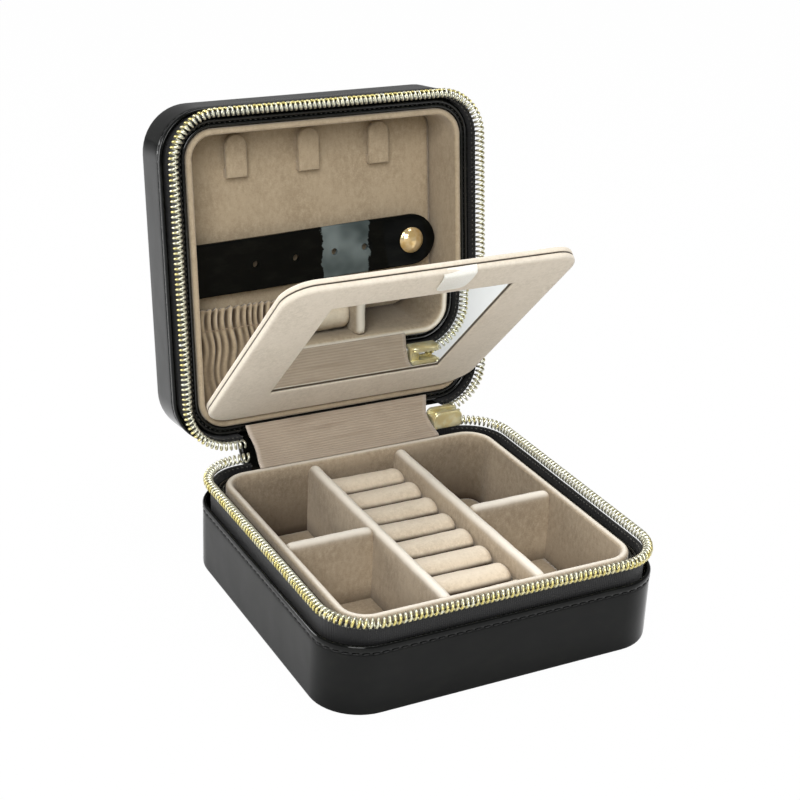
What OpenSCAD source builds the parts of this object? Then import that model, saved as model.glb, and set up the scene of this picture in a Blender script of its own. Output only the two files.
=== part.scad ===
// Zip-round travel jewelry case with a fold-down mirror, ring rolls, hook tabs, earring strap and pocket.
// The origin is the middle of the underside. The front faces -Y, and the lid stands open at the back.

/* [Case] */
// Width of the leather case, side to side
case_w = 102.4; // [84:0.2:123]
// Depth of the leather case, front to back
case_d = 100; // [80:1:120]
// Extra padding in the leather's left and right sides
side_pad = 1.2; // [0.8:0.1:1.4]
// Height of the base's leather wall
base_h = 21.6; // [18:0.1:26]
// Band between the two leather walls that the zip closes
zip_gap = 16.6; // [16:0.1:20]
// Height of the lid's leather wall
lid_h = 16.4; // [15:0.1:19.7]
// Outer corner radius, seen from above
corner_r = 14; // [11.7:0.5:16.8]
// Leather and board of the side walls
wall_t = 2.4; // [2:0.1:3]
// Leather and board of the underside
base_panel_t = 2.8; // [2.3:0.1:3.4]
// Leather and board of the lid's top
panel_t = 1.6; // [1.4:0.1:2]
// Leather of the folded hems and of the spine
leather_t = 1; // [0.8:0.1:1.2]
// Depth of the folded hems, down from the leather's edge
hem_h = 4.4; // [3.5:0.1:5.3]
// How far behind its shut place the lid is turned
lid_open = 97.6; // [90:0.1:105]
// Pivot line's place behind the leather wall
hinge_out = 1; // [0.8:0.1:1.3]

/* [Zip] */
// Thickness of the woven tape
tape_t = 0.8; // [0.6:0.1:1]
// Tape between the leather's edge and the teeth
tape_rise = 4.6; // [3.9:0.1:5.5]
// Thickness of the coil of teeth
coil_t = 2.9; // [2.5:0.1:3.4]
// How far the coil stands proud of the leather wall
coil_proud = 1; // [0.8:0.1:1]
// Length of the zip slider
slider_l = 10; // [8.5:0.5:12]
// Height of the zip slider
slider_h = 5.4; // [4.5:0.1:6]
// Distance from the case's right side, without its padding, to the slider's middle
slider_in = 15.7; // [14:0.1:18]
// Length of the pull that hangs from the slider
pull_l = 13; // [11:0.5:15.6]
// Width of the pull
pull_w = 5; // [4.2:0.1:5.5]

/* [Lining] */
// Distance from the leather's outside to the velvet trays
tray_inset = 5.5; // [5.2:0.1:6.5]
// Velvet wall of the base tray
base_tray_t = 2.3; // [1.9:0.1:2.7]
// Height of the base tray's rim over the leather's edge
base_rim = 5.1; // [4.3:0.1:6.1]
// Velvet wall of the lid tray
lid_tray_t = 1.8; // [1.5:0.1:2.2]
// Height of the lid tray's rim over the leather's edge
lid_rim = 3.5; // [3:0.1:4.2]
// Velvet pad on the floor of the base and on the lid's back
pad_t = 1.2; // [1:0.1:1.5]
// Height of the black inner lips over the leather's edge
lip_rise = 3; // [2.5:0.1:3.6]
// Distance from the case's side to the woven lining that covers the hinge
lining_in = 20; // [19:0.1:24]
// Thickness of that lining
lining_t = 0.6; // [0.5:0.1:0.8]

/* [Dividers and ring rolls] */
// Thickness of the velvet dividers
div_t = 3; // [2.4:0.1:3.6]
// Width of the ring column between the two long dividers
column_w = 26; // [21:0.5:31]
// How far the dividers stay under the base tray's rim
div_drop = 0.7; // [0.4:0.1:1.5]
// Number of places for ring rolls; rolls left over share the front place
rolls = 8; // [6:1:9]
// How far the crests of the rolls stay under the tray's rim
roll_drop = 4.6; // [3.8:0.1:6]

/* [Lid fittings] */
// Width of a hook tab
tab_w = 6.8; // [5.6:0.1:8]
// Length of a hook tab
tab_l = 13; // [11:0.5:15.6]
// Pitch of the three hook tabs
tab_pitch = 23.6; // [19:0.1:28]
// Distance from the lid's top edge down to the tabs
tab_drop = 9.7; // [8.5:0.1:11.6]
// Thickness of a tab
tab_t = 1.6; // [1.3:0.1:2]
// Width of the earring strap
strap_w = 16.2; // [13.5:0.1:19]
// Height of the strap's middle over the lid's middle, at its left end
strap_up = 0.3; // [0:0.1:1]
// Thickness of the strap
strap_t = 1.5; // [1.2:0.1:1.8]
// Slope of the strap, rising to the snap
strap_rise = 1.5; // [0:0.1:2]
// Free depth between the strap and the lid's back
strap_gap = 3.1; // [2.9:0.1:3.7]
// Diameter of the pierced earring holes
ear_hole_d = 2.2; // [1.8:0.1:2.6]
// Diameter of the snap's domed cap
snap_d = 8.2; // [7:0.1:9.8]
// Distance from the strap's middle down to the pocket's frilled mouth
pocket_drop = 11.1; // [10.5:0.1:13.3]
// Height of the frill over the gathered seam
frill_h = 6.4; // [5.3:0.1:7.6]
// Thickness of the pocket's velvet
pocket_t = 1.4; // [1.2:0.1:1.7]
// Inside depth of the pocket
pocket_gap = 6.2; // [5.9:0.1:6.8]

/* [Mirror flap] */
// Thickness of the flap
flap_t = 3.6; // [3:0.1:4.2]
// Distance from the leather's outside to the flap's sides
flap_inset = 5.5; // [5.3:0.1:6.5]
// Distance from the leather's outside to the flap's top
flap_top = 4.5; // [3.8:0.1:5.4]
// Extra rounding of the flap's two lower corners
flap_low_r = 1.5; // [1.2:0.1:2.5]
// How far the flap is turned out of the lid
flap_open = 51.9; // [44:0.1:55]
// How far the flap's lower edge rides up on its cloth hinge as it turns out
flap_lift = 2.9; // [2.5:0.1:3.4]
// How far that edge sinks into the lid as it turns out
flap_sink = 2.1; // [1.8:0.1:2.3]
// Velvet border at each side of the mirror
mirror_side = 16.7; // [14:0.1:20]
// Velvet border above the mirror
mirror_head = 13.6; // [11.4:0.1:16.3]
// Velvet border under the mirror
mirror_sill = 17.7; // [14.8:0.1:21.2]
// Thickness of the mirror glass
glass_t = 1; // [0.9:0.1:1.2]
// How deep the mirror lies in the border
mirror_drop = 0.8; // [0.6:0.1:0.95]
// How far the glass reaches under the velvet border
glass_under = 1.8; // [1.5:0.1:2.2]
// Width of the pull tab at the flap's top
flap_tab_w = 10.4; // [8.6:0.1:12.5]
// Length of the pull tab on the flap's front
flap_tab_l = 10; // [8.3:0.1:12]
// Middle of the pull tab, to the right of the flap's middle
flap_tab_x = 5.2; // [0:0.1:6.3]

/* [Hidden] */
$fn = 64;

soft_gap = 0.3;                  // room between pieces of different bodies
touch = 0.01;                    // overlap of shapes joined into one piece
half_w = case_w / 2 - side_pad;   // half the width without the side padding
half_d = case_d / 2;
tape_inset = leather_t + 0.1;
tape_down = 4;                   // tape sewn behind the hem
lip_inset = wall_t + 0.1;
seam_room = 0.2;                 // between the frame and the tray it holds
rim_z = base_h + base_rim;
shut_z = base_h + zip_gap;       // lid's leather edge when shut
hinge_y = half_d + hinge_out;
hinge_z = base_h + zip_gap / 2;
tip_gap = 0.15;                  // from the middle of the zip to a tooth's tip
tooth_top = zip_gap / 2 - tip_gap;
floor_z = base_panel_t + pad_t;
tray_in = tray_inset + base_tray_t;
lid_in = tray_inset + lid_tray_t;
lid_floor = lid_h - panel_t - pad_t;      // depth of the lid's velvet back under the leather's edge
flap_room = lid_rim + soft_gap;           // flap's back over the lid's leather edge
flap_v = lid_in + 0.1;                    // flap's lower edge over the hinge edge, when folded in
flap_l = case_d - flap_top - flap_v;
pivot_v = flap_v + (flap_lift + flap_sink / tan(flap_open / 2)) / 2;
pivot_w = -flap_room + (flap_sink - flap_lift / tan(flap_open / 2)) / 2;
mirror_w = 2 * (half_w - flap_inset - mirror_side);
mirror_h = flap_l - mirror_sill - mirror_head;
lining_x = half_w - lining_in;
slider_x = half_w - slider_in;
zip_left = -(lining_x + 2);               // teeth start left of the lining
zip_right = slider_x + slider_l / 2 + 0.3;
column_end = column_w / 2 + div_t;
roll_top = rim_z - roll_drop;
column_l = case_d - 2 * tray_in;
roll_gap = 0.15;                          // half the room between two rolls
roll_pitch = column_l / rolls;
roll_r = roll_pitch / 2 - roll_gap;
pull_bar_r = 0.55;
eye_bore_r = pull_bar_r + 0.1;            // running fit on the slider's bar
eye_r = 1.2;
plate_t = 1;                              // metal of the slider's two plates
plate_in = coil_t - coil_proud + soft_gap;      // slider's inner plate, from the leather's outside inwards
plate_out = coil_proud + 0.5;                   // slider's outer plate, outwards
bar_y = half_d + plate_out + plate_t + eye_r + 0.4;
strap_left = -(half_w - lid_in - 0.7);
strap_right = half_w - lid_in - 1;
strap_w_top = lid_floor - strap_gap - strap_t;  // strap's front, under the lid's leather edge
tab_v = case_d - tab_drop - tab_l;
strap_v = half_d + strap_up;
pocket_v = strap_v - pocket_drop;
snap_x = strap_right - strap_w / 2 - 0.2;
ear_holes = [53.1, 39.7, 26.6, 16.1];     // chosen places of the four pierced holes, left of the snap
snap_post_r = 1.7;
snap_ring_r = 3.4;
stud_t = 1;
pocket_w_top = lid_floor - pocket_gap - pocket_t;

// Rounded square of the case, drawn in from its outside and widened by the side padding
module outline(inset, pad = 0) {
    r = corner_r - inset;
    x = half_w - inset + pad;
    y = half_d - inset;
    union() {
        square([2 * (x - r), 2 * y], center = true);
        square([2 * x, 2 * (y - r)], center = true);
        for (sx = [-1, 1], sy = [-1, 1])
            translate([sx * (x - r), sy * (y - r)]) circle(r);
    }
}

// Upright band that follows the case's sides
module band(outer, inner, z0, z1, pad = 0) {
    translate([0, 0, z0]) linear_extrude(z1 - z0) difference() {
        outline(outer, pad);
        outline(inner);
    }
}

module plate(inset, z0, z1, pad = 0) {
    translate([0, 0, z0]) linear_extrude(z1 - z0) outline(inset, pad);
}

// Room in the zip at the back, where the lining and the slider are
module zip_end_cut(x0, x1) {
    translate([x0, half_d - corner_r, -touch]) cube([x1 - x0, 2 * corner_r, shut_z + lid_h]);
}

// Stands a shape drawn on the shut lid up to its open place
module lid_pose() {
    translate([0, hinge_y, hinge_z]) rotate([-lid_open, 0, 0]) translate([0, -hinge_y, -hinge_z]) children();
}

// Lid coordinates: right, up from the hinge edge, depth under the leather's edge
module in_lid(x, v, w) {
    translate([x, half_d - v, shut_z + w]) children();
}

// Turns the flap out of the lid on its cloth hinge; the flap is drawn from its lower back edge
module flap_pose() {
    lid_pose() translate([0, half_d - pivot_v, shut_z + pivot_w]) rotate([flap_open, 0, 0])
        translate([0, pivot_v - flap_v, -flap_room - pivot_w]) children();
}

module strap_pose() {
    lid_pose() in_lid(strap_left, strap_v, 0) rotate([0, 0, -strap_rise]) children();
}

// ---- Base ----

module base_shell() {
    color("#232323") union() {
        plate(0, 0, base_panel_t, side_pad);
        band(0, wall_t, base_panel_t - touch, base_h - hem_h, side_pad);
    }
}

module base_hem() {
    color("#2c2c2c") band(0, leather_t, base_h - hem_h, base_h, side_pad);
}

module base_frame() {
    color("#151515") band(lip_inset, tray_inset - seam_room, base_panel_t, base_h + lip_rise);
}

module base_zip_tape() {
    color("#101010") difference() {
        band(tape_inset, tape_inset + tape_t, base_h - tape_down, base_h + tape_rise);
        zip_end_cut(zip_left, slider_x - slider_l / 2);
    }
}

module base_zip_teeth() {
    color("#d8d2a0") difference() {
        band(-coil_proud, coil_t - coil_proud, base_h + tape_rise, base_h + tooth_top);
        zip_end_cut(zip_left, zip_right);
    }
}

module base_tray_wall() {
    color("#b8a68c") band(tray_inset, tray_in, base_panel_t, rim_z);
}

module base_floor_pad() {
    color("#a8967c") plate(tray_in + 0.05, base_panel_t, floor_z);
}

// Divider with a rounded top
module divider(length) {
    top = rim_z - div_drop;
    rotate([90, 0, 90]) translate([0, 0, -length / 2]) linear_extrude(length) union() {
        translate([-div_t / 2, floor_z]) square([div_t, top - floor_z - div_t / 2]);
        translate([0, top - div_t / 2]) circle(div_t / 2);
    }
}

module long_divider(side) {
    color("#c4b49c") translate([side * (column_w + div_t) / 2, 0, 0])
        rotate([0, 0, 90]) divider(column_l - 0.1);
}

module cross_divider(side) {
    x0 = column_end + 0.05;
    x1 = half_w - tray_in - 0.05;
    color("#c4b49c") translate([side * (x0 + x1) / 2, 0, 0]) divider(x1 - x0);
}

module long_divider_left() { long_divider(-1); }
module long_divider_right() { long_divider(1); }
module cross_divider_left() { cross_divider(-1); }
module cross_divider_right() { cross_divider(1); }

// Upright foam strip with a round crest; roll 1 is the rearmost
module ring_roll(i) {
    place = min(i, rolls);
    sharing = i < rolls ? 1 : max(1, 9 - rolls);
    y = column_l / 2 - (place - 0.5) * roll_pitch;
    x0 = -column_w / 2 + (i - place) * column_w / sharing + 0.15;
    color("#d2c4aa") translate([x0, y, 0]) rotate([90, 0, 90])
        linear_extrude(column_w / sharing - 0.3) union() {
            translate([-roll_r, floor_z]) square([2 * roll_r, roll_top - roll_r - floor_z]);
            translate([0, roll_top - roll_r]) circle(roll_r);
        }
}

// ---- Hinge ----

// Thin sheet across the back, from a run of (y, z) places, thickened upwards
module cross_sheet(path, x0, x1, t) {
    translate([x0, 0, 0]) rotate([90, 0, 90]) linear_extrude(x1 - x0)
        polygon(concat(path, [for (i = [len(path) - 1 : -1 : 0]) path[i] + [-0.45, 0.9] * t]));
}

// (y, z) place of a point of the lid, given up from the hinge edge and under the leather's edge
function lid_yz(v, w) =
    let (y = half_d - v - hinge_y, z = shut_z + w - hinge_z)
    [hinge_y + y * cos(lid_open) + z * sin(lid_open), hinge_z - y * sin(lid_open) + z * cos(lid_open)];

module hinge_lining() {
    start = [half_d - tray_inset - base_tray_t / 2, rim_z + soft_gap];
    end = lid_yz(tray_inset - 0.4, -lid_rim - 0.7);
    color("#a59480") cross_sheet([start, end], -lining_x, slider_x - slider_l / 2 - soft_gap, lining_t);
}

module spine_cover() {
    start = [half_d + 0.2, base_h + 0.1];
    end = lid_yz(-0.4, -0.5);
    belly = [(start[0] + end[0]) / 2 + 2, (start[1] + end[1]) / 2 - 2];
    color("#1c1c1c")
        cross_sheet([start, belly, end], zip_left, slider_x - slider_l / 2 - soft_gap, leather_t * 0.8);
}

// Slider with an inner plate, an outer plate, the core between them and the bar for the pull
module zip_slider() {
    post = 0.9;
    bar_l = slider_l - 3;
    color("#d9c27a") translate([slider_x, 0, hinge_z]) union() {
        translate([-slider_l / 2, half_d - plate_in - plate_t, -slider_h / 2]) cube([slider_l, plate_t, slider_h]);
        translate([-slider_l / 2, half_d + plate_out, -slider_h / 2]) cube([slider_l, plate_t, slider_h]);
        translate([-slider_l / 2, half_d - plate_in - touch, -slider_h / 4])
            cube([slider_l / 3, plate_in + plate_out + 2 * touch, slider_h / 2]);
        translate([-bar_l / 2, bar_y, 0]) rotate([0, 90, 0]) cylinder(h = bar_l, r = pull_bar_r);
        for (x = [-bar_l / 2, bar_l / 2 - post])
            translate([x, half_d + plate_out + plate_t - touch, -pull_bar_r])
                cube([post, bar_y - half_d - plate_out - plate_t + touch, 2 * pull_bar_r]);
    }
}

// Pull with a rolled eye on the slider's bar, hanging down
module zip_pull() {
    color("#d9c27a") translate([slider_x, bar_y, hinge_z]) difference() {
        union() {
            translate([-pull_w / 2, 0, 0]) rotate([0, 90, 0]) cylinder(h = pull_w, r = eye_r);
            translate([0, plate_t / 2, 0]) rotate([90, 0, 0]) linear_extrude(plate_t) union() {
                translate([-pull_w / 2, -pull_l + pull_w / 2]) square([pull_w, pull_l - pull_w / 2]);
                translate([0, -pull_l + pull_w / 2]) circle(pull_w / 2);
            }
        }
        translate([-pull_w, 0, 0]) rotate([0, 90, 0]) cylinder(h = 2 * pull_w, r = eye_bore_r);
    }
}

// ---- Lid, drawn shut and then stood open ----

module lid_shell() {
    color("#232323") lid_pose() union() {
        plate(0, shut_z + lid_h - panel_t, shut_z + lid_h, side_pad);
        band(0, wall_t, shut_z + hem_h, shut_z + lid_h - panel_t + touch, side_pad);
    }
}

module lid_hem() {
    color("#2c2c2c") lid_pose() band(0, leather_t, shut_z, shut_z + hem_h, side_pad);
}

module lid_frame() {
    color("#151515") lid_pose()
        band(lip_inset, tray_inset - seam_room, shut_z - lip_rise, shut_z + lid_h - panel_t);
}

module lid_zip_tape() {
    color("#101010") lid_pose() difference() {
        band(tape_inset, tape_inset + tape_t, shut_z - tape_rise, shut_z + tape_down);
        zip_end_cut(zip_left, zip_right);
    }
}

module lid_zip_teeth() {
    color("#d8d2a0") lid_pose() difference() {
        band(-coil_proud, coil_t - coil_proud, shut_z - tooth_top, shut_z - tape_rise);
        zip_end_cut(zip_left, zip_right);
    }
}

module lid_tray_wall() {
    color("#b8a68c") lid_pose() band(tray_inset, lid_in, shut_z - lid_rim, shut_z + lid_h - panel_t);
}

module lid_back_pad() {
    color("#a8967c") lid_pose() plate(lid_in + 0.1, shut_z + lid_floor, shut_z + lid_h - panel_t);
}

// Round-ended tab that stands off the lid's back on a foot
module hook_tab(i) {
    foot_l = 2.6;
    off = 1.6;
    color("#bba78f") lid_pose() in_lid((i - 2) * tab_pitch, tab_v, lid_floor) union() {
        translate([0, 0, -off - tab_t]) linear_extrude(tab_t) union() {
            translate([-tab_w / 2, -tab_l + tab_w / 2]) square([tab_w, tab_l - tab_w / 2]);
            translate([0, -tab_l + tab_w / 2]) circle(tab_w / 2);
        }
        translate([-tab_w / 2, -foot_l, -off - touch]) cube([tab_w, foot_l, off + touch]);
    }
}

// Pocket's velvet, which follows the lid tray's lower corners
module pocket_front() {
    color("#a3917a") lid_pose() translate([0, 0, shut_z + pocket_w_top]) linear_extrude(pocket_t) intersection() {
        outline(lid_in + 0.1);
        translate([-half_w, half_d - pocket_v + frill_h]) square([case_w, pocket_v - frill_h]);
    }
}

module pocket_frill() {
    x = half_w - lid_in - 0.1;
    color("#b3a088") lid_pose() in_lid(-x, pocket_v, pocket_w_top - 0.3) cube([2 * x, frill_h, pocket_t + 0.6]);
}

// Pad that the strap's left end is sewn down on
module strap_anchor() {
    pad_l = 4;
    color("#151515") strap_pose() translate([-0.4, -strap_w / 2 + 1, strap_w_top + strap_t + soft_gap])
        cube([pad_l, strap_w - 2, strap_gap - soft_gap]);
}

module earring_strap() {
    r = strap_w / 2;
    length = strap_right - strap_left;
    color("#0c0c0c") strap_pose() translate([0, 0, strap_w_top]) linear_extrude(strap_t) difference() {
        union() {
            translate([0, -r]) square([length - r, strap_w]);
            translate([length - r, 0]) circle(r);
        }
        for (x = ear_holes)
            translate([snap_x - x - strap_left, 0]) circle(d = ear_hole_d);
    }
}

module snap_cap() {
    dome_h = 1.6;
    edge_h = 0.5;
    dome_r = (pow(snap_d / 2, 2) + pow(dome_h, 2)) / (2 * dome_h);
    color("#e2cf94") strap_pose() translate([snap_x - strap_left, 0, strap_w_top]) union() {
        translate([0, 0, -edge_h]) cylinder(h = edge_h, d = snap_d);
        intersection() {
            translate([0, 0, -edge_h - dome_h + dome_r]) sphere(dome_r);
            translate([0, 0, -edge_h - dome_h]) cylinder(h = dome_h + touch, d = snap_d);
        }
    }
}

module snap_socket() {
    ring_h = 1.7;
    color("#cdb878") strap_pose() translate([snap_x - strap_left, 0, strap_w_top + strap_t]) difference() {
        cylinder(h = ring_h, r = snap_ring_r);
        translate([0, 0, 0.4]) cylinder(h = ring_h, r = snap_post_r + soft_gap);
    }
}

module snap_stud() {
    post_h = 1;
    color("#cdb878") strap_pose() translate([snap_x - strap_left, 0, lid_floor - stud_t]) union() {
        cylinder(h = stud_t, r = snap_ring_r);
        translate([0, 0, -post_h]) cylinder(h = post_h + touch, r = snap_post_r);
    }
}

// ---- Mirror flap, drawn flat from its pivot towards -Y and then turned ----

module flap_outline() {
    r = corner_r - flap_inset;
    low_r = r + flap_low_r;
    x = half_w - flap_inset;
    union() {
        translate([-x, -flap_l + r]) square([2 * x, flap_l - r - low_r]);
        translate([-x + r, -flap_l]) square([2 * (x - r), r + touch]);
        translate([-x + low_r, -low_r - touch]) square([2 * (x - low_r), low_r + touch]);
        for (sx = [-1, 1]) {
            translate([sx * (x - r), -flap_l + r]) circle(r);
            translate([sx * (x - low_r), -low_r]) circle(low_r);
        }
    }
}

module mirror_rect(extra) {
    translate([-mirror_w / 2 - extra, -mirror_sill - mirror_h - extra])
        square([mirror_w + 2 * extra, mirror_h + 2 * extra]);
}

module flap_border() {
    color("#d8cfc0") flap_pose() difference() {
        translate([0, 0, -flap_t]) linear_extrude(mirror_drop + glass_t) difference() {
            flap_outline();
            mirror_rect(0);
        }
        translate([0, 0, -flap_t + mirror_drop]) linear_extrude(flap_t) mirror_rect(glass_under);
    }
}

module flap_back() {
    color("#b09c86") flap_pose() translate([0, 0, -flap_t + mirror_drop + glass_t])
        linear_extrude(flap_t - mirror_drop - glass_t) flap_outline();
}

module mirror_glass() {
    color("#dfe6e4") flap_pose() translate([0, 0, -flap_t + mirror_drop]) linear_extrude(glass_t)
        mirror_rect(glass_under - 0.1);
}

module flap_tab() {
    r = 1.6;
    tab_thick = 0.7;
    color("#f4f3ea") flap_pose() translate([flap_tab_x, -flap_l, -flap_t - tab_thick])
        linear_extrude(tab_thick) union() {
        translate([-flap_tab_w / 2, 0]) square([flap_tab_w, flap_tab_l - r]);
        translate([-flap_tab_w / 2 + r, 0]) square([flap_tab_w - 2 * r, flap_tab_l]);
        for (x = [-1, 1])
            translate([x * (flap_tab_w / 2 - r), flap_tab_l - r]) circle(r);
    }
}

base_shell();
base_hem();
base_frame();
base_zip_tape();
base_zip_teeth();
base_tray_wall();
base_floor_pad();
long_divider_left();
long_divider_right();
cross_divider_left();
cross_divider_right();
ring_roll(1);  // ring_roll_1
ring_roll(2);  // ring_roll_2
ring_roll(3);  // ring_roll_3
ring_roll(4);  // ring_roll_4
ring_roll(5);  // ring_roll_5
ring_roll(6);  // ring_roll_6
ring_roll(7);  // ring_roll_7
ring_roll(8);  // ring_roll_8
hinge_lining();
spine_cover();
zip_slider();
zip_pull();
lid_shell();
lid_hem();
lid_frame();
lid_zip_tape();
lid_zip_teeth();
lid_tray_wall();
lid_back_pad();
hook_tab(1);  // hook_tab_1
hook_tab(2);  // hook_tab_2
hook_tab(3);  // hook_tab_3
pocket_front();
pocket_frill();
strap_anchor();
snap_stud();
earring_strap();
snap_cap();
snap_socket();
flap_border();
flap_back();
mirror_glass();
flap_tab();
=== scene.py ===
# %% [markdown]
# # A travel jewelry case, standing open
# A small square case of black patent leather zips round its middle. Inside are a velvet tray with
# dividers and ring rolls, and a lid with hook tabs, an earring strap, a gathered pocket and a mirror
# on a flap. Lengths are in millimetres while a piece is drawn, and become metres when its mesh is
# made.

import math

import bmesh
import bpy
import numpy as np
from mathutils import Matrix, Vector


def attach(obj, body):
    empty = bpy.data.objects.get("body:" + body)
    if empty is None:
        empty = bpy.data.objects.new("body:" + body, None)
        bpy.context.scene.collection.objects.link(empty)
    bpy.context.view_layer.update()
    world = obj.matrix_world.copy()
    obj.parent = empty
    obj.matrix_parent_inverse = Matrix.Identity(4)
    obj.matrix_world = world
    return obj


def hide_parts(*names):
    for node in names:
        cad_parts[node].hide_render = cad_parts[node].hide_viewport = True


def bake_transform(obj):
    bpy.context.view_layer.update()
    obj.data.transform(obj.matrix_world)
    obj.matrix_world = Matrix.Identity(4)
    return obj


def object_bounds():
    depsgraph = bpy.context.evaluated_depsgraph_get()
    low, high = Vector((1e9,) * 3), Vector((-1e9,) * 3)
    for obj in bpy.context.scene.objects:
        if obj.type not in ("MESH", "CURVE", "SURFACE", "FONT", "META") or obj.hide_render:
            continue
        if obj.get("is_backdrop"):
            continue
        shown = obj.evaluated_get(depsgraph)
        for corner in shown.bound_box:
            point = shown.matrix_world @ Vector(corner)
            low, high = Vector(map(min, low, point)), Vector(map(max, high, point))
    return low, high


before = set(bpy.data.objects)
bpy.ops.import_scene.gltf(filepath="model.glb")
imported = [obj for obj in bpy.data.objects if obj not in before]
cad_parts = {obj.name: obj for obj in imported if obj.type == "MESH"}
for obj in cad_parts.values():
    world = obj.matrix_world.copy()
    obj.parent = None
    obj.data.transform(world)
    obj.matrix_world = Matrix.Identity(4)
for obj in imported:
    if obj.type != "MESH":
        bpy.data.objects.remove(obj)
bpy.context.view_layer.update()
MM = 0.001

# %% Colours and light start from a plain view
scene = bpy.context.scene
scene.view_settings.view_transform = "Standard"
print("view transform:", scene.view_settings.view_transform)

# %% [markdown]
# ## The sizes that the looks share with the solid model
# The base is drawn as it stands. The lid is a second, shallower base turned over on top of it, so
# every band of leather, tape or velvet is drawn once and placed twice: once as it is, and once
# mirrored in the zip's middle and swung open about the hinge.

# %% Sizes in millimetres
HALF = 50.0          # half the case, side to side and front to back
CORNER = 14.0        # outer corner radius
RAISED = 1.2         # every height below is counted from here, over the underside
EDGE = 20.4          # leather's edge
ZIP_MIDDLE = 28.7    # height of the zip's middle
HINGE_Y = 51.0       # pivot line behind the leather
LID_OPEN = 97.6      # degrees
LID_FLOOR = 4.0      # outside of the lid's panel, in the turned-over base
FLAP_OPEN = 51.9     # degrees out of the lid
FLAP_V, FLAP_ROOM = 7.4, 3.8     # the flap's lower edge when folded in
FLAP_LIFT, FLAP_SINK = 2.9, 2.1  # how its cloth hinge lets that edge climb and sink
SIDE_PAD = 1.2       # extra padding in the left and right sides
FLAT_SIDE = HALF - CORNER        # where the corners begin
BOARD = 1.6          # board under the leather
BOX_PAD = 60.0       # the side padding fades out this far in
HEM = 4.4            # depth of the folded hem
ZIP_START, ZIP_END = -32.0, 39.6
print("case", 2 * HALF, "mm square, leather edge at", EDGE)


# %% Places: base, lid, flap and strap
def shift(x, y, z):
    return Matrix.Translation((x, y, z))


def turn(degrees, axis="X"):
    return Matrix.Rotation(math.radians(degrees), 4, axis)


WORLD = Matrix.Identity(4)
BASE = shift(0, 0, RAISED)
LID_SWING = BASE @ shift(0, HINGE_Y, ZIP_MIDDLE) @ turn(-LID_OPEN) @ shift(0, -HINGE_Y, -ZIP_MIDDLE)
LID = LID_SWING @ shift(0, 0, 2 * ZIP_MIDDLE) @ Matrix.Scale(-1, 4, (0, 0, 1))
SHUT = 2 * ZIP_MIDDLE - EDGE
SLOPE = 1 / math.tan(math.radians(FLAP_OPEN / 2))
PIVOT_V = FLAP_V + (FLAP_LIFT + FLAP_SINK * SLOPE) / 2
PIVOT_W = -FLAP_ROOM + (FLAP_SINK - FLAP_LIFT * SLOPE) / 2
FLAP = (LID_SWING @ shift(0, HALF - PIVOT_V, SHUT + PIVOT_W) @ turn(FLAP_OPEN)
        @ shift(0, PIVOT_V - FLAP_V, -FLAP_ROOM - PIVOT_W))
STRAP = LID @ shift(-42, -0.3, 0) @ turn(-1.5, "Z")
print("lid's top edge stands at", [round(v, 1) for v in LID @ Vector((0, -HALF, EDGE))])

# %% [markdown]
# ## Making a mesh
# Each piece is a list of points and faces in millimetres. One helper places it, turns it the right
# way out, gives it a map in millimetres for patterns that follow the surface, and hangs it on its
# body. A second helper sweeps a cross-section round the rounded square of the case, which is how a
# hem, a tape or a padded rim is really made: one strip that goes all the way round.


# %% One piece
def make_mesh(name, points, faces, place=BASE, corners=None, marks=None, closed=True):
    """A mesh object from millimetre points; corners holds one (along, across) per face corner."""
    mesh = bpy.data.meshes.new(name)
    placed = [(place @ Vector(p)) * MM for p in points]
    mirrored = place.determinant() < 0
    mesh.from_pydata(placed, [], faces)
    if corners is not None:
        layer = mesh.uv_layers.new(name="cloth")
        flat = np.array([c for face in corners for c in face], np.float32)
        layer.data.foreach_set("uv", flat.ravel())
    if marks is not None:
        crest = mesh.attributes.new("crest", "FLOAT", "POINT")
        crest.data.foreach_set("value", np.array(marks, np.float32))
    work = bmesh.new()
    work.from_mesh(mesh)
    if closed:
        bmesh.ops.recalc_face_normals(work, faces=work.faces)
    elif mirrored:
        bmesh.ops.reverse_faces(work, faces=work.faces)
    work.to_mesh(mesh)
    work.free()
    mesh.shade_smooth()
    piece = bpy.data.objects.new(name, mesh)
    scene.collection.objects.link(piece)
    return piece


def dress(piece, finish, body, stands_for=(), crease=None):
    """Gives a piece its finish and its body, and hides the solids it stands for."""
    piece.data.materials.clear()
    piece.data.materials.append(finish)
    if crease is not None:
        mark = piece.modifiers.new("edges", "WEIGHTED_NORMAL")
        mark.keep_sharp = True
        piece.data.set_sharp_from_angle(angle=math.radians(crease))
    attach(piece, body)
    if stands_for:
        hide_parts(*stands_for)
    return piece


# %% Faces and curves that several pieces share
def tube_faces(rings, around, loop=False):
    """Walls between rings of points; a loop joins its last ring to its first, or else both ends are shut."""
    faces = []
    for j in range(rings if loop else rings - 1):
        here, there = j * around, (j + 1) % rings * around
        for k in range(around):
            after = (k + 1) % around
            faces.append((here + k, there + k, there + after, here + after))
    if not loop:
        faces += [tuple(range(around)), tuple((rings - 1) * around + k for k in range(around))]
    return faces


def sheet_faces(rows, cols):
    """Two layers of one grid, the second's points after the first's, joined all round their edge."""
    row, top, faces = cols + 1, (rows + 1) * (cols + 1), []
    for j in range(rows):
        for i in range(cols):
            a = j * row + i
            faces.append((a, a + 1, a + row + 1, a + row))
            faces.append((top + a, top + a + row, top + a + row + 1, top + a + 1))
    rim = list(range(cols)) + [j * row + cols for j in range(rows)]
    rim += [rows * row + cols - i for i in range(cols)] + [(rows - j) * row for j in range(rows)]
    return faces + [(a, top + a, top + b, b) for a, b in zip(rim, rim[1:] + rim[:1])]


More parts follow.
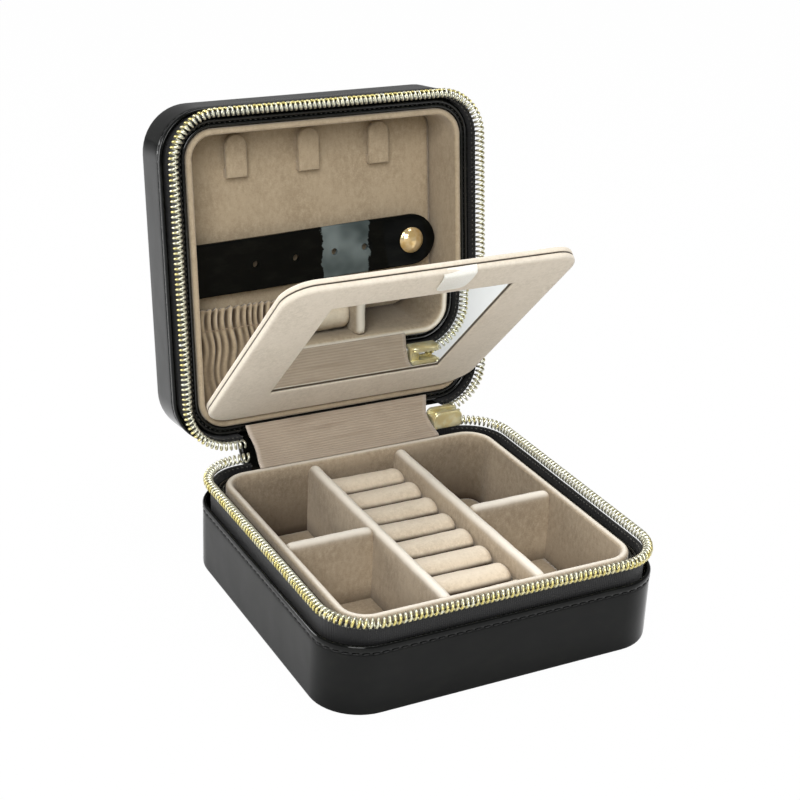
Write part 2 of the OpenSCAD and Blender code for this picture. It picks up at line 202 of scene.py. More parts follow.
def circle(r, count):
    """Places evenly round a circle about the origin."""
    turns = [2 * math.pi * k / count for k in range(count)]
    return [(r * math.cos(t), r * math.sin(t)) for t in turns]


def clamp(value, low=0.0, high=1.0):
    return max(low, min(high, value))


def shoulder(left, r):
    """0 far from an end and 1 at it, falling along a quarter circle of radius r."""
    return 1 - math.sqrt(max(0.0, 1 - max(0.0, 1 - left / r) ** 2))


# %% The line round the case
def case_line(start=0.0, end=0.0, step=5.0, bend=12, inset=0.0):
    """Rows of (x, y, outward x, outward y, distance), from the back, round by the left."""
    r, h = CORNER - inset, HALF - inset
    c = h - r
    rows = []

    def straight(a, b, out):
        n = max(2, int(math.dist(a, b) / step))
        for i in range(n):
            rows.append((a[0] + (b[0] - a[0]) * i / n, a[1] + (b[1] - a[1]) * i / n, *out))

    def corner(cx, cy, first):
        for i in range(bend):
            t = math.radians(first + 90 * i / bend)
            rows.append((cx + r * math.cos(t), cy + r * math.sin(t), math.cos(t), math.sin(t)))

    straight((start, h), (-c, h), (0, 1))
    corner(-c, c, 90)
    straight((-h, c), (-h, -c), (-1, 0))
    corner(-c, -c, 180)
    straight((-c, -h), (c, -h), (0, -1))
    corner(c, -c, 270)
    straight((h, -c), (h, c), (1, 0))
    corner(c, c, 0)
    straight((c, h), (end, h), (0, 1))
    rows.append((end, h, 0, 1))
    far, line = 0.0, []
    for i, row in enumerate(rows):
        far += math.dist(row[:2], rows[i - 1][:2]) if i else 0
        line.append((*row, far))
    return line


ring_line = case_line()
print("round the case:", round(ring_line[-1][4], 1), "mm")


# %% Sweep a cross-section round the case
def sweep(section, line=None, tube=True, crest=None):
    """section is (inset, height) places; a full line closes on itself. Caps shut open ends."""
    line = line or ring_line
    ring = math.dist(line[0][:2], line[-1][:2]) < 1e-6
    n, m = len(line) - (1 if ring else 0), len(section)
    points = [(x - nx * i, y - ny * i, z) for x, y, nx, ny, _ in line[:n] for i, z in section]
    across = [0.0]
    for k in range(m):
        a, b = section[k], section[(k + 1) % m]
        across.append(across[-1] + math.dist(a, b))
    faces, corners = [], []
    for i in range(len(line) - 1):
        for k in range(m if tube else m - 1):
            i2, k2 = (i + 1) % n, (k + 1) % m
            faces.append((i * m + k, i2 * m + k, i2 * m + k2, i * m + k2))
            s0, s1, t0, t1 = line[i][4], line[i + 1][4], across[k], across[k + 1]
            corners.append(((s0, t0), (s1, t0), (s1, t1), (s0, t1)))
    ends = []
    if not tube and ring:
        ends = [[i * m for i in range(n)], [i * m + m - 1 for i in range(n)]]
    elif tube and not ring:
        ends = [list(range(m)), [(n - 1) * m + k for k in range(m)]]
    for end in ends:
        faces.append(tuple(end))
        corners.append(tuple((points[p][0], points[p][1]) for p in end))
    marks = None if crest is None else [crest[k] for _ in range(n) for k in range(m)]
    return points, faces, corners, marks


def swept(name, section, place=BASE, line=None, tube=True, crest=None, padded_to=0.0):
    """padded_to: how far in the side padding still moves the section outwards."""
    points, faces, corners, marks = sweep(section, line, tube, crest)
    if padded_to:
        m = len(section)
        points = [(widened(x, section[k % m][0], padded_to), y, z)
                  for k, (x, y, z) in enumerate(points)]
    return make_mesh(name, points, faces, place, corners, marks)


def widened(x, inset, reach):
    """Moves a place on the leather outwards at the left and right, less and less towards its inside."""
    return x + SIDE_PAD * clamp(x / FLAT_SIDE, -1.0) * clamp((reach - inset) / reach)


def arc(cx, cy, r, first, last, n):
    """Places on a circle, for rounding a section."""
    return [(cx + r * math.cos(math.radians(first + (last - first) * i / n)),
             cy + r * math.sin(math.radians(first + (last - first) * i / n))) for i in range(n + 1)]


print("sweep is ready; a band has", len(ring_line) - 1, "steps round the case")

# %% [markdown]
# ## Writing materials as sums
# A node graph is easier to read as arithmetic. `Wire` wraps one socket, so that `1 - weave * 0.4`
# makes the Math nodes by itself. `Nodes.add` makes any other node from its type, its settings and
# its sockets. The same two classes write the shaders and the Geometry Nodes trees.


# %% A socket with arithmetic
class Wire:
    def __init__(self, nodes, socket):
        self.nodes, self.socket = nodes, socket

    def sum(self, operation, *values):
        return self.nodes.add("ShaderNodeMath", {"operation": operation}, dict(enumerate(values)))

    def __add__(self, other):
        return self.sum("ADD", self, other)

    def __radd__(self, other):
        return self.sum("ADD", other, self)

    def __sub__(self, other):
        return self.sum("SUBTRACT", self, other)

    def __rsub__(self, other):
        return self.sum("SUBTRACT", other, self)

    def __mul__(self, other):
        return self.sum("MULTIPLY", self, other)

    def __rmul__(self, other):
        return self.sum("MULTIPLY", other, self)

    def __truediv__(self, other):
        return self.sum("DIVIDE", self, other)

    def sin(self):
        return self.sum("SINE", self)

    def cos(self):
        return self.sum("COSINE", self)

    def between(self, low, high):
        """0 below low, 1 above high, smooth in between."""
        return self.nodes.add("ShaderNodeMapRange", {"interpolation_type": "SMOOTHSTEP"},
                              {"Value": self, "From Min": low, "From Max": high})


# %% A graph that makes nodes
class Nodes:
    def __init__(self, tree):
        self.tree = tree

    def add(self, kind, settings=None, sockets=None, out=0):
        node = self.tree.nodes.new(kind)
        for key, value in (settings or {}).items():
            setattr(node, key, value)
        for key, value in (sockets or {}).items():
            if isinstance(value, Wire):
                self.tree.links.new(value.socket, node.inputs[key])
            else:
                node.inputs[key].default_value = value
        return Wire(self, node.outputs[out])

    def split(self, vector):
        x = self.add("ShaderNodeSeparateXYZ", None, {0: vector})
        outputs = x.socket.node.outputs
        return x, Wire(self, outputs[1]), Wire(self, outputs[2])


class Finish(Nodes):
    """A material whose constant values sit on the shader, and whose patterns feed it."""

    def __init__(self, name, **constants):
        self.material = bpy.data.materials.new(name)
        self.material.use_nodes = True
        super().__init__(self.material.node_tree)
        self.tree.nodes.clear()
        self.shader = self.tree.nodes.new("ShaderNodeBsdfPrincipled")
        self.output = self.tree.nodes.new("ShaderNodeOutputMaterial")
        self.tree.links.new(self.shader.outputs[0], self.output.inputs[0])
        for socket, value in constants.items():
            self.shader.inputs[socket.replace("_", " ")].default_value = value

    def spot(self):
        """Place on the piece, in millimetres."""
        where = self.add("ShaderNodeTexCoord", out=3)
        return self.add("ShaderNodeVectorMath", {"operation": "SCALE"}, {0: where, "Scale": 1000.0})

    def along_across(self):
        """Distance along and across a strip, in millimetres."""
        where = self.add("ShaderNodeUVMap", {"uv_map": "cloth"})
        along, across, _ = self.split(where)
        return along, across

    def noise(self, size, detail=3.0, rough=0.55, stretch=(1, 1, 1), place=None):
        where = self.add("ShaderNodeMapping", None,
                         {"Vector": place or self.spot(), "Scale": [s / size for s in stretch]})
        return self.add("ShaderNodeTexNoise", None,
                        {"Vector": where, "Scale": 1.0, "Detail": detail, "Roughness": rough})

    def mark(self, name="crest"):
        return self.add("ShaderNodeAttribute", {"attribute_name": name}, out=2)

    def blend(self, a, b, amount):
        return self.add("ShaderNodeMix", {"data_type": "RGBA"}, {0: amount, 6: a, 7: b}, out=2)

    def feed(self, socket, value):
        self.tree.links.new(value.socket, self.shader.inputs[socket])
        return self

    def relief(self, height, depth, strength=1.0, under=None):
        """A bump whose full height is `depth` millimetres."""
        sockets = {"Height": height, "Distance": depth * MM, "Strength": strength}
        if under is not None:
            sockets["Normal"] = under
        return self.add("ShaderNodeBump", None, sockets)


def rgb(red, green, blue):
    """A colour written as on a screen, 0 to 255, turned into light."""
    def light(v):
        v /= 255
        return v / 12.92 if v <= 0.04045 else ((v + 0.055) / 1.055) ** 2.4
    return (light(red), light(green), light(blue), 1.0)


print("a middle velvet is", [round(v, 3) for v in rgb(178, 160, 136)])

# %% [markdown]
# ## Patent leather
# Patent leather is split leather under a thick film of lacquer. The colour hardly matters: nearly
# all that is seen is what it mirrors, and the slow waves in the film that bend those reflections.
# So the base is almost black, a clear coat does the shining, and two bumps of different size bend it.
# The strap alone has a painted reflection: a pale grey stretch painted into its colour round its third and
# fourth hole, which stays the same whatever the light.


# %% Patent leather for the walls
def patent(name, wave_depth, wave_size, roughness, coat=0.04, shine=0.17, painted_reflection=False):
    leather = Finish(name, IOR=1.5, Specular_IOR_Level=shine, Coat_Weight=coat, Coat_Roughness=0.05,
                     Coat_IOR=1.5)
    waves = leather.noise(wave_size, 1.5)
    pores = leather.noise(0.9, 4.0, 0.6)
    scuffs = leather.noise(7.0, 5.0, 0.7, (1, 1, 2.5))
    leather.feed("Base Color", leather.blend(rgb(8, 9, 8), rgb(17, 18, 15), scuffs.between(0.45, 0.75)))
    # painted reflection: a pale grey patch in the base colour round the strap's third and fourth hole, streaked
    # by the folds noise
    if painted_reflection:
        place, _, _ = leather.split(leather.spot())
        patch_place = place + leather.noise(3.5, 3.0, 0.7) * 4.0
        reflection_patch = patch_place.between(4.6, 5.0) * (1.0 - patch_place.between(20.6, 21.0))
        folds = leather.noise(12.0, 2.0, 0.5).between(0.3, 0.75)
        pale = leather.blend(rgb(66, 76, 76), rgb(124, 135, 135), folds)
        plain = leather.shader.inputs["Base Color"].links[0].from_socket
        leather.feed("Base Color", leather.blend(Wire(leather, plain), pale, reflection_patch * 0.75))
    leather.feed("Roughness", roughness + scuffs.between(0.5, 0.8) * 0.08)
    slow = leather.relief(waves, wave_depth, 0.5)
    leather.feed("Normal", leather.relief(pores, 0.012, 0.35, slow))
    return leather.material


leather_wall = patent("patent_leather_wall", 0.45, 15.0, 0.12)
leather_strap = patent("patent_leather_strap", 0.9, 13.0, 0.05, 0.0, 0.06, painted_reflection=True)
leather_lip = patent("patent_leather_lip", 0.2, 6.0, 0.14, 0.15, 0.4)
print("patent leathers:", leather_wall.name, leather_strap.name, leather_lip.name)

# %% [markdown]
# ## Velvet
# The linings are short-pile velvet on board or foam. The pile lies a little differently from patch
# to patch, which gives soft clouds of lighter and darker tone. The clouds are stretched noise, and
# sheen on the shader lifts the pile at grazing angles. A `crest` mark on each piece paints light and
# shade into the colour: above zero it paints turned-over pile and a painted highlight on tops and
# edges, below zero it paints shade in corners, slits, folds and recesses.


# %% Velvet for trays, rolls and flap
def velvet(name, deep, middle, bright, crest):
    cloth = Finish(name, Specular_IOR_Level=0.18, Sheen_Weight=0.35, Sheen_Roughness=0.45,
                   Sheen_Tint=(1.0, 0.95, 0.88, 1.0))
    clouds = cloth.noise(14.0, 2.0, 0.5)
    pile = cloth.noise(0.5, 3.0, 0.75)
    lint = cloth.noise(1.2, 2.0, 0.5, (1, 1, 0.6))
    tone = clouds * 0.3 + lint * 0.35 + pile * 0.45
    body = cloth.blend(deep, middle, tone.between(0.36, 0.62))
    body = cloth.blend(body, bright, (lint * 0.5 + pile * 0.6).between(0.56, 0.85) * 0.6)
    # a crest mark above zero paints the pale turned pile together with a painted highlight
    body = cloth.blend(body, crest, cloth.mark().between(0.0, 1.0))
    # painted shade: a crest mark below zero darkens the colour towards deep brown
    shade = (0.0 - cloth.mark()).between(0.0, 1.0)
    cloth.feed("Base Color", cloth.blend(body, rgb(58, 46, 34), shade))
    cloth.feed("Roughness", 0.82 + pile * 0.15)
    soft = cloth.relief(clouds, 0.25, 0.35)
    cloth.feed("Normal", cloth.relief(pile, 0.07, 0.6, soft))
    return cloth.material


# One velvet in four tones by place, each row its deep, middle, bright and crest colour. The rolls and above all
# the flap are painted lighter than the tray and the lid: painted light and shade on the same cloth.
TONES = {
    "tray": ((150, 134, 112), (172, 156, 133), (196, 181, 158), (232, 225, 212)),
    "roll": ((196, 180, 156), (214, 199, 176), (230, 217, 198), (238, 229, 214)),
    "lid": ((152, 136, 112), (171, 155, 130), (190, 174, 150), (222, 210, 194)),
    "flap": ((204, 193, 174), (220, 209, 191), (232, 222, 206), (238, 230, 216)),
}
velvet_tray, velvet_roll, velvet_lid, velvet_flap = (
    velvet(f"velvet_{place}", *(rgb(*tone) for tone in tones)) for place, tones in TONES.items())
print("velvets:", [m.name for m in (velvet_tray, velvet_roll, velvet_lid, velvet_flap)])

# %% [markdown]
# ## Tape, thread, metal and mirror
# The zip tape is a black twill whose fine ribs run across it. The coil is a plated plastic spiral,
# pale where it turns over the top and brassy down its outer side. Slider and snap are polished gold.

# %% Zip tape
tape = Finish("zip_tape_weave", Roughness=0.6, Specular_IOR_Level=0.4, Sheen_Weight=0.1)
along, across = tape.along_across()
ribs = (along * (2 * math.pi / 0.62)).sin() * 0.5 + 0.5
picks = (across * (2 * math.pi / 0.5) + along * 5.0).sin() * 0.5 + 0.5
weave = ribs * 0.7 + picks * 0.3
tape.feed("Base Color", tape.blend(rgb(5, 5, 6), rgb(20, 20, 21), weave.between(0.5, 1.0)))
tape.feed("Normal", tape.relief(weave, 0.12, 0.8))
tape = tape.material
print("tape ribs every 0.62 mm:", tape.name)

# %% Coil, thread and metals
coil = Finish("zip_coil_plated", Metallic=0.9, Specular_IOR_Level=0.6)
outer = coil.mark("turn").between(0.1, 0.9) * coil.noise(3.0, 2.0).between(0.3, 0.55)
coil.feed("Base Color", coil.blend(rgb(226, 226, 208), rgb(220, 206, 132), outer))
coil.feed("Roughness", 0.26 + coil.noise(1.2, 2.0) * 0.14)
coil = coil.material

def thread(name, deep, pale, roughness):
    cotton = Finish(name, Specular_IOR_Level=0.4)
    strands = cotton.noise(0.35, 2.0).between(0.3, 0.7)
    cotton.feed("Base Color", cotton.blend(deep, pale, strands))
    cotton.feed("Roughness", roughness + strands * 0.2)
    return cotton.material


dark_thread = thread("thread_black", rgb(6, 6, 6), rgb(30, 30, 30), 0.55)
pale_thread = thread("thread_grey", rgb(48, 48, 47), rgb(104, 103, 98), 0.5)


def polished(name, low, high, roughness):
    metal = Finish(name, Metallic=0.65)
    clouds = metal.noise(2.5, 3.0)
    scratches = metal.noise(0.5, 3.0, 0.6, (0.15, 1, 1))
    metal.feed("Base Color", metal.blend(low, high, clouds.between(0.35, 0.65)))
    metal.feed("Roughness", roughness + scratches.between(0.5, 0.8) * 0.1)
    metal.feed("Normal", metal.relief(scratches, 0.006, 0.3))
    return metal.material


gold = polished("gold_polished", rgb(246, 232, 176), rgb(255, 250, 214), 0.30)
gold_dome = polished("gold_snap", rgb(226, 194, 130), rgb(244, 222, 176), 0.10)
print("metals:", gold.name, gold_dome.name)

# %% Mirror, ivory satin and the ribbed lining
mirror = Finish("mirror_silvered", Metallic=1.0)
mirror.feed("Base Color", mirror.blend(rgb(236, 240, 238), rgb(242, 244, 242), mirror.noise(30.0, 1.0)))
mirror.feed("Roughness", 0.012 + mirror.noise(6.0, 2.0).between(0.6, 0.9) * 0.02)
mirror = mirror.material

ivory = Finish("ivory_satin", IOR=1.48, Coat_Weight=0.3, Coat_Roughness=0.15)
threads = ivory.noise(0.5, 3.0, 0.6, (1, 4, 4))
ivory.feed("Base Color", ivory.blend(rgb(232, 230, 218), rgb(250, 249, 242), threads.between(0.3, 0.7)))
ivory.feed("Roughness", 0.34 + threads * 0.16)
ivory.feed("Normal", ivory.relief(threads, 0.02, 0.5))
ivory = ivory.material

lining = Finish("lining_grosgrain", Specular_IOR_Level=0.25, Sheen_Weight=0.2, Sheen_Roughness=0.5)
along, across = lining.along_across()
ribs = (across * (2 * math.pi / 0.9)).sin() * 0.5 + 0.5
warp = (along * (2 * math.pi / 0.4)).sin() * 0.5 + 0.5
bands = lining.noise(3.2, 2.0, 0.5, (0.12, 1, 1))
clouds = lining.noise(8.0, 3.0, 0.6)
shade = lining.blend(rgb(152, 137, 120), rgb(186, 171, 153), ribs * 0.35 + clouds * 0.65)
shade = lining.blend(shade, rgb(138, 122, 105), bands.between(0.5, 0.75) * 0.6)
lining.feed("Base Color", lining.blend(shade, rgb(206, 192, 178), lining.mark()))
lining.feed("Roughness", 0.78 + warp * 0.12)
lining.feed("Normal", lining.relief(ribs * 0.8 + warp * 0.2, 0.14, 0.7))
lining = lining.material

print("also:", mirror.name, ivory.name, lining.name)

# %% [markdown]
# ## Geometry Nodes for stitches and the coil
# A seam is hundreds of equal stitches on a line, and the zip is one wire wound round a line. Both
# are rules, so both are Geometry Nodes trees with named inputs. The line is a thin mesh that
# carries two directions on its points: `out`, away from the case, and `rise`, up from the leather.
# The tree's result is turned into a plain mesh, so nothing live is left on the piece.


# %% The line that a seam follows
def guide(name, rows, place):
    """rows are (point, out, rise); the guide is edges only, already placed."""
    mesh = bpy.data.meshes.new(name)
    ring = (Vector(rows[0][0]) - Vector(rows[-1][0])).length < 1e-6
    rows = rows[:-1] if ring else rows
    n = len(rows)
    edges = [(i, (i + 1) % n) for i in range(n if ring else n - 1)]
    mesh.from_pydata([(place @ Vector(r[0])) * MM for r in rows], edges, [])
    spin = place.to_3x3()
    for k, label in ((1, "out"), (2, "rise")):
        layer = mesh.attributes.new(label, "FLOAT_VECTOR", "POINT")
        layer.data.foreach_set("vector", np.array([(spin @ Vector(r[k])).normalized() for r in rows],
                                                  np.float32).ravel())
    host = bpy.data.objects.new(name, mesh)
    scene.collection.objects.link(host)
    return host


def line_guide(name, line, inset, height, place):
    rows = [((x - nx * inset, y - ny * inset, height), (nx, ny, 0), (0, 0, 1)) for x, y, nx, ny, _ in line]
    return guide(name, rows, place)


def grow(host, tree, **values):
    """Runs a tree on its guide with these inputs and gives back a plain mesh object."""
    name = host.name.replace("_guide", "")
    live = host.modifiers.new("grow", "NODES")
    live.node_group = tree
    for item in tree.interface.items_tree:
        if item.item_type == "SOCKET" and item.in_out == "INPUT" and item.name in values:
            live[item.identifier] = values[item.name]
    bpy.context.view_layer.update()
    mesh = bpy.data.meshes.new_from_object(host.evaluated_get(bpy.context.evaluated_depsgraph_get()))
    host.modifiers.remove(live)
    bpy.data.objects.remove(host)
    piece = bpy.data.objects.new(name, mesh)
    scene.collection.objects.link(piece)
    mesh.shade_smooth()
    return piece


def new_tree(name, inputs):
    tree = bpy.data.node_groups.new(name, "GeometryNodeTree")
    tree.interface.new_socket("Geometry", in_out="INPUT", socket_type="NodeSocketGeometry")
    for label, kind, value in inputs:
        socket = tree.interface.new_socket(label, in_out="INPUT", socket_type=kind)
        if value is not None:
            socket.default_value = value
    tree.interface.new_socket("Geometry", in_out="OUTPUT", socket_type="NodeSocketGeometry")
    nodes = Nodes(tree)
    first = nodes.add("NodeGroupInput")
    given = {s.name: Wire(nodes, s) for s in first.socket.node.outputs if s.name}
    return tree, nodes, given


# %% The tree for stitches
stitch_tree, nodes, given = new_tree("stitches", [
    ("Pitch", "NodeSocketFloat", 0.0026), ("Length", "NodeSocketFloat", 0.0019),
    ("Width", "NodeSocketFloat", 0.0004), ("Slant", "NodeSocketFloat", 0.0),
    ("Finish", "NodeSocketMaterial", None)])
line = nodes.add("GeometryNodeMeshToCurve", None, {"Mesh": given["Geometry"]})
spaced = nodes.add("GeometryNodeResampleCurve", {"mode": "LENGTH"}, {"Curve": line, "Length": given["Pitch"]})
bead = nodes.add("GeometryNodeMeshUVSphere", None, {"Segments": 6, "Rings": 4, "Radius": 0.5})
size = nodes.add("ShaderNodeCombineXYZ", None, {0: given["Length"], 1: given["Width"], 2: given["Width"]})
bead = nodes.add("GeometryNodeTransform", None, {"Geometry": bead, "Scale": size})
out_way = nodes.add("GeometryNodeInputNamedAttribute", {"data_type": "FLOAT_VECTOR"}, {"Name": "out"})
tangent = nodes.add("GeometryNodeInputTangent")
facing = nodes.add("FunctionNodeAlignRotationToVector", {"axis": "Z"}, {"Vector": out_way})
facing = nodes.add("FunctionNodeAlignRotationToVector", {"axis": "X", "pivot_axis": "Z"},
                   {"Rotation": facing, "Vector": tangent})
tilt = nodes.add("ShaderNodeCombineXYZ", None, {2: given["Slant"]})
tilt = nodes.add("FunctionNodeEulerToRotation", None, {0: tilt})
facing = nodes.add("FunctionNodeRotateRotation", {"rotation_space": "LOCAL"}, {0: facing, 1: tilt})
sewn = nodes.add("GeometryNodeInstanceOnPoints", None, {"Points": spaced, "Instance": bead, "Rotation": facing})
sewn = nodes.add("GeometryNodeRealizeInstances", None, {0: sewn})
sewn = nodes.add("GeometryNodeSetMaterial", None, {"Geometry": sewn, "Material": given["Finish"]})
nodes.add("GeometryNodeSetShadeSmooth", None, {0: sewn})
end = nodes.tree.nodes.new("NodeGroupOutput")
stitch_tree.links.new(sewn.socket, end.inputs[0])
print("stitch tree:", len(stitch_tree.nodes), "nodes")



def sew(host, thread, body, slot, **sizes):
    """Stitches along a guide; their sizes are in metres."""
    return dress(grow(host, stitch_tree, Finish=thread, **sizes), thread, body)


# %% The tree for the coil
coil_tree, nodes, given = new_tree("coil", [
    ("Pitch", "NodeSocketFloat", 0.0015), ("Half width", "NodeSocketFloat", 0.0009),
    ("Half height", "NodeSocketFloat", 0.0012), ("Wire", "NodeSocketFloat", 0.0003),
    ("Steps", "NodeSocketFloat", 12.0), ("Finish", "NodeSocketMaterial", None)])
line = nodes.add("GeometryNodeMeshToCurve", None, {"Mesh": given["Geometry"]})
fine = nodes.add("GeometryNodeResampleCurve", {"mode": "LENGTH"},
                 {"Curve": line, "Length": given["Pitch"] / given["Steps"]})
reach = nodes.add("GeometryNodeSplineParameter", out=1)
angle = reach / given["Pitch"] * (2 * math.pi)
out_way = nodes.add("GeometryNodeInputNamedAttribute", {"data_type": "FLOAT_VECTOR"}, {"Name": "out"})
rise = nodes.add("GeometryNodeInputNamedAttribute", {"data_type": "FLOAT_VECTOR"}, {"Name": "rise"})
sideways = nodes.add("ShaderNodeVectorMath", {"operation": "SCALE"},
                     {0: out_way, "Scale": angle.cos() * given["Half width"]})
upward = nodes.add("ShaderNodeVectorMath", {"operation": "SCALE"},
                   {0: rise, "Scale": angle.sin() * given["Half height"]})
step = nodes.add("ShaderNodeVectorMath", {"operation": "ADD"}, {0: sideways, 1: upward})
marked = nodes.add("GeometryNodeStoreNamedAttribute", {"data_type": "FLOAT", "domain": "POINT"},
                   {"Geometry": fine, "Name": "turn", "Value": angle.cos()})
wound = nodes.add("GeometryNodeSetPosition", None, {"Geometry": marked, "Offset": step})
ring = nodes.add("GeometryNodeCurvePrimitiveCircle", None, {"Resolution": 6, "Radius": given["Wire"]})
wire = nodes.add("GeometryNodeCurveToMesh", None, {"Curve": wound, "Profile Curve": ring, "Fill Caps": True})
wire = nodes.add("GeometryNodeRealizeInstances", None, {0: wire})
wire = nodes.add("GeometryNodeSetMaterial", None, {"Geometry": wire, "Material": given["Finish"]})
end = nodes.tree.nodes.new("NodeGroupOutput")
coil_tree.links.new(wire.socket, end.inputs[0])
print("coil tree:", len(coil_tree.nodes), "nodes")

# %% [markdown]
# ## The leather boxes
# Base and lid are the same box: a board wrapped in patent leather, its hem folded over the edge and
# sewn down all round. The wall is a swept section with a rounded bottom edge. The hem is its own
# strip: a shallow groove where the stitches pull in, and a plump rounded edge above it that gives
# the bright double line of the real one.


# %% Walls, panels and hems
def leather_box(which, place, floor, panel_round):
    r = panel_round
    outside = [(13.0, floor), (8.0, floor), (r + 1.2, floor)]
    outside += [(r + a, floor + r + b) for a, b in arc(0, 0, r, 270, 180, 6)]
    heights = [floor + r + (EDGE - HEM - floor - r) * k / 4 for k in range(1, 5)]
    outside += [(0.0, z) for z in heights]
    inside = [(2.4, EDGE - HEM), (2.4, floor + BOARD), (8.0, floor + BOARD), (13.0, floor + BOARD)]
    wall = swept(f"{which}_leather_wall", outside + inside, place, tube=False, padded_to=BOX_PAD)
    dress(wall, leather_wall, which, [f"{which}_shell"], crease=40)
    z0, seam = EDGE - HEM, EDGE - 2.3
    hem = [(0.0, z0), (0.0, seam - 0.75), (0.07, seam - 0.4), (0.2, seam - 0.14), (0.2, seam + 0.14),
           (0.04, seam + 0.42), (-0.1, seam + 0.8), (-0.14, EDGE - 1.0), (-0.1, EDGE - 0.5),
           (0.06, EDGE - 0.16), (0.32, EDGE + 0.02), (0.62, EDGE), (0.88, EDGE - 0.2), (1.0, EDGE - 0.55),
           (1.0, z0)]
    hem = swept(f"{which}_leather_hem", hem, place, padded_to=BOX_PAD)
    dress(hem, leather_wall, which, [f"{which}_hem"], crease=60)
    seam_line = [(widened(x, 0, 1), y, nx, ny, far) for x, y, nx, ny, far in case_line(step=2.0, bend=16)]
    host = line_guide(f"{which}_hem_stitches_guide", seam_line, 0.1, seam, place)
    sew(host, dark_thread, which, "patent_leather", Pitch=0.0027, Length=0.0021, Width=0.00042, Slant=0.10)


leather_box("base", BASE, -RAISED, 1.8)
leather_box("lid", LID, LID_FLOOR, 2.2)
print("leather boxes: walls, hems and two rows of hem stitches")

# %% [markdown]
# ## The black lip inside the zip
# Between the zip and the velvet tray stands a card rim covered with the same lacquered leather. It
# is rolled over twice, so two glossy ridges run round the case, with a sewn line between them.


# %% Lips
def lip(which, place, floor):
    top = EDGE + 3.0
    section = [(2.5, floor + BOARD), (2.5, top - 1.3), (2.56, top - 0.75)]
    section += arc(3.25, top - 0.72, 0.66, 170, 20, 6)
    section += [(3.98, top - 0.85), (4.06, top - 0.9)]
    section += arc(4.68, top - 0.66, 0.62, 165, 5, 6)
    section += [(5.3, top - 1.3), (5.3, floor + BOARD)]
    rim = swept(f"{which}_black_lip", section, place)
    dress(rim, leather_lip, which, [f"{which}_frame"], crease=70)
    host = line_guide(f"{which}_lip_stitches_guide", case_line(step=2.0, bend=16), 4.0, top - 0.78, place)
    sew(host, pale_thread, which, "patent_leather", Pitch=0.0016, Length=0.0009, Width=0.0003, Slant=0.0)


lip("base", BASE, 0.0)
lip("lid", LID, LID_FLOOR)
print("two lips, each with two rolled ridges")

# %% [markdown]
# ## Zip tape and coil
# Each half of the zip is a woven tape sewn behind the hem, with the coil along its free edge. Both
# stop at the back, where the spine and the lining join the two halves. Two rows of small pale
# stitches hold the coil to the tape.


# %% Tapes and coils
def zip_half(which, place, tape_end):
    line = case_line(ZIP_START, tape_end, step=3.0)
    top = EDGE + 4.7
    section = [(1.1, 16.0), (1.1, EDGE + 2.2), (1.02, EDGE + 3.8), (1.1, top), (1.3, top + 0.25),
               (1.7, top + 0.25), (1.9, top), (1.96, EDGE + 3.8), (1.9, EDGE + 2.2), (1.9, 16.0)]
    band = swept(f"{which}_tape", section, place, line)
    dress(band, tape, which, [f"{which}_zip_tape"], crease=60)
    stop = case_line(ZIP_START, ZIP_END, step=2.0, bend=18)
    for label, inset, height in (("inner", 1.98, top - 0.45), ("outer", 1.0, top - 0.35)):
        host = line_guide(f"{which}_tape_stitches_{label}_guide", stop, inset, height, place)
        sew(host, pale_thread, which, "zip_tape", Pitch=0.0015, Length=0.00085, Width=0.00032, Slant=0.25)
    host = line_guide(f"{which}_coil_guide", stop, 0.42, 26.8, place)
    values = {"Half width": 0.00112, "Half height": 0.00122}
    wound = grow(host, coil_tree, Pitch=0.0015, Wire=0.00036, Steps=12.0, Finish=coil, **values)
    dress(wound, coil, which, [f"{which}_zip_teeth"])
    return wound


base_coil = zip_half("base", BASE, 29.3)
lid_coil = zip_half("lid", LID, ZIP_END)
print("coil:", len(base_coil.data.polygons), "faces for each half")

# %% [markdown]
# ## Velvet trays
# The tray is a ring of card with velvet pulled over its top edge. Where the pile turns over the edge
# it parts and shows pale, and a painted highlight is added there, so the top of the section carries
# the `crest` mark; painted shade darkens the inner face towards the floor.


# %% Tray walls
def tray(which, place, floor, rise, thick, finish, bright):
    top, r = EDGE + rise, thick / 2
    outer, inner = 5.5, 5.5 + thick
    section = [(outer, floor + BOARD), (outer, top - 3.0), (outer + 0.02, top - r)]
    crown = [(outer + r + a, top - r + b) for a, b in arc(0, 0, r, 165, 15, 8)]
    section += crown + [(inner - 0.02, top - r), (inner, top - 2.6), (inner, top - 4.5)]
    section += [(inner + 0.06, top - (top - floor) * k / 5) for k in (2, 3, 4)] + [(inner, floor + BOARD)]
    # pale turned pile and painted highlight along the top, scaled by bright; painted shade down the inner face,
    # darkest at the floor
    crest = [0, 0, 0.1] + [bright * math.sin(math.pi * k / 8) ** 2 for k in range(9)]
    crest += [0.05, 0, 0, -0.1, -0.2, -0.3, -0.6]
    wall = swept(f"{which}_velvet_wall", section, place, crest=crest)
    if which == "base":
        marks = wall.data.attributes["crest"].data
        for vertex, mark in zip(wall.data.vertices, marks):  # painted shadow of the lid: the rear wall is darkened below its top
            x, y, z = vertex.co / MM
            if y > 30 and max(abs(x), y) < HALF - inner + 0.2:
                mark.value -= 0.42 * clamp((top + RAISED - 0.8 - z) / 3) * min(1.0, (y - 30) / 10)
    dress(wall, finish, which, [f"{which}_tray_wall"], crease=80)


tray("base", BASE, 0.0, 5.1, 2.3, velvet_tray, 0.75)
tray("lid", LID, LID_FLOOR, 3.5, 1.8, velvet_lid, 0.12)
print("two velvet trays")


# %% [markdown]
# ## Pads and dividers
# The floor is one foam pad under velvet, pressed down where the dividers stand on it, so it swells
# a little in the middle of each compartment. A divider is a card core in a velvet sleeve, with a
# round top that dips where it meets a wall. The floor and the lid's back are height fields over a
# fine grid, which is the plainest way to press a surface down along known lines.


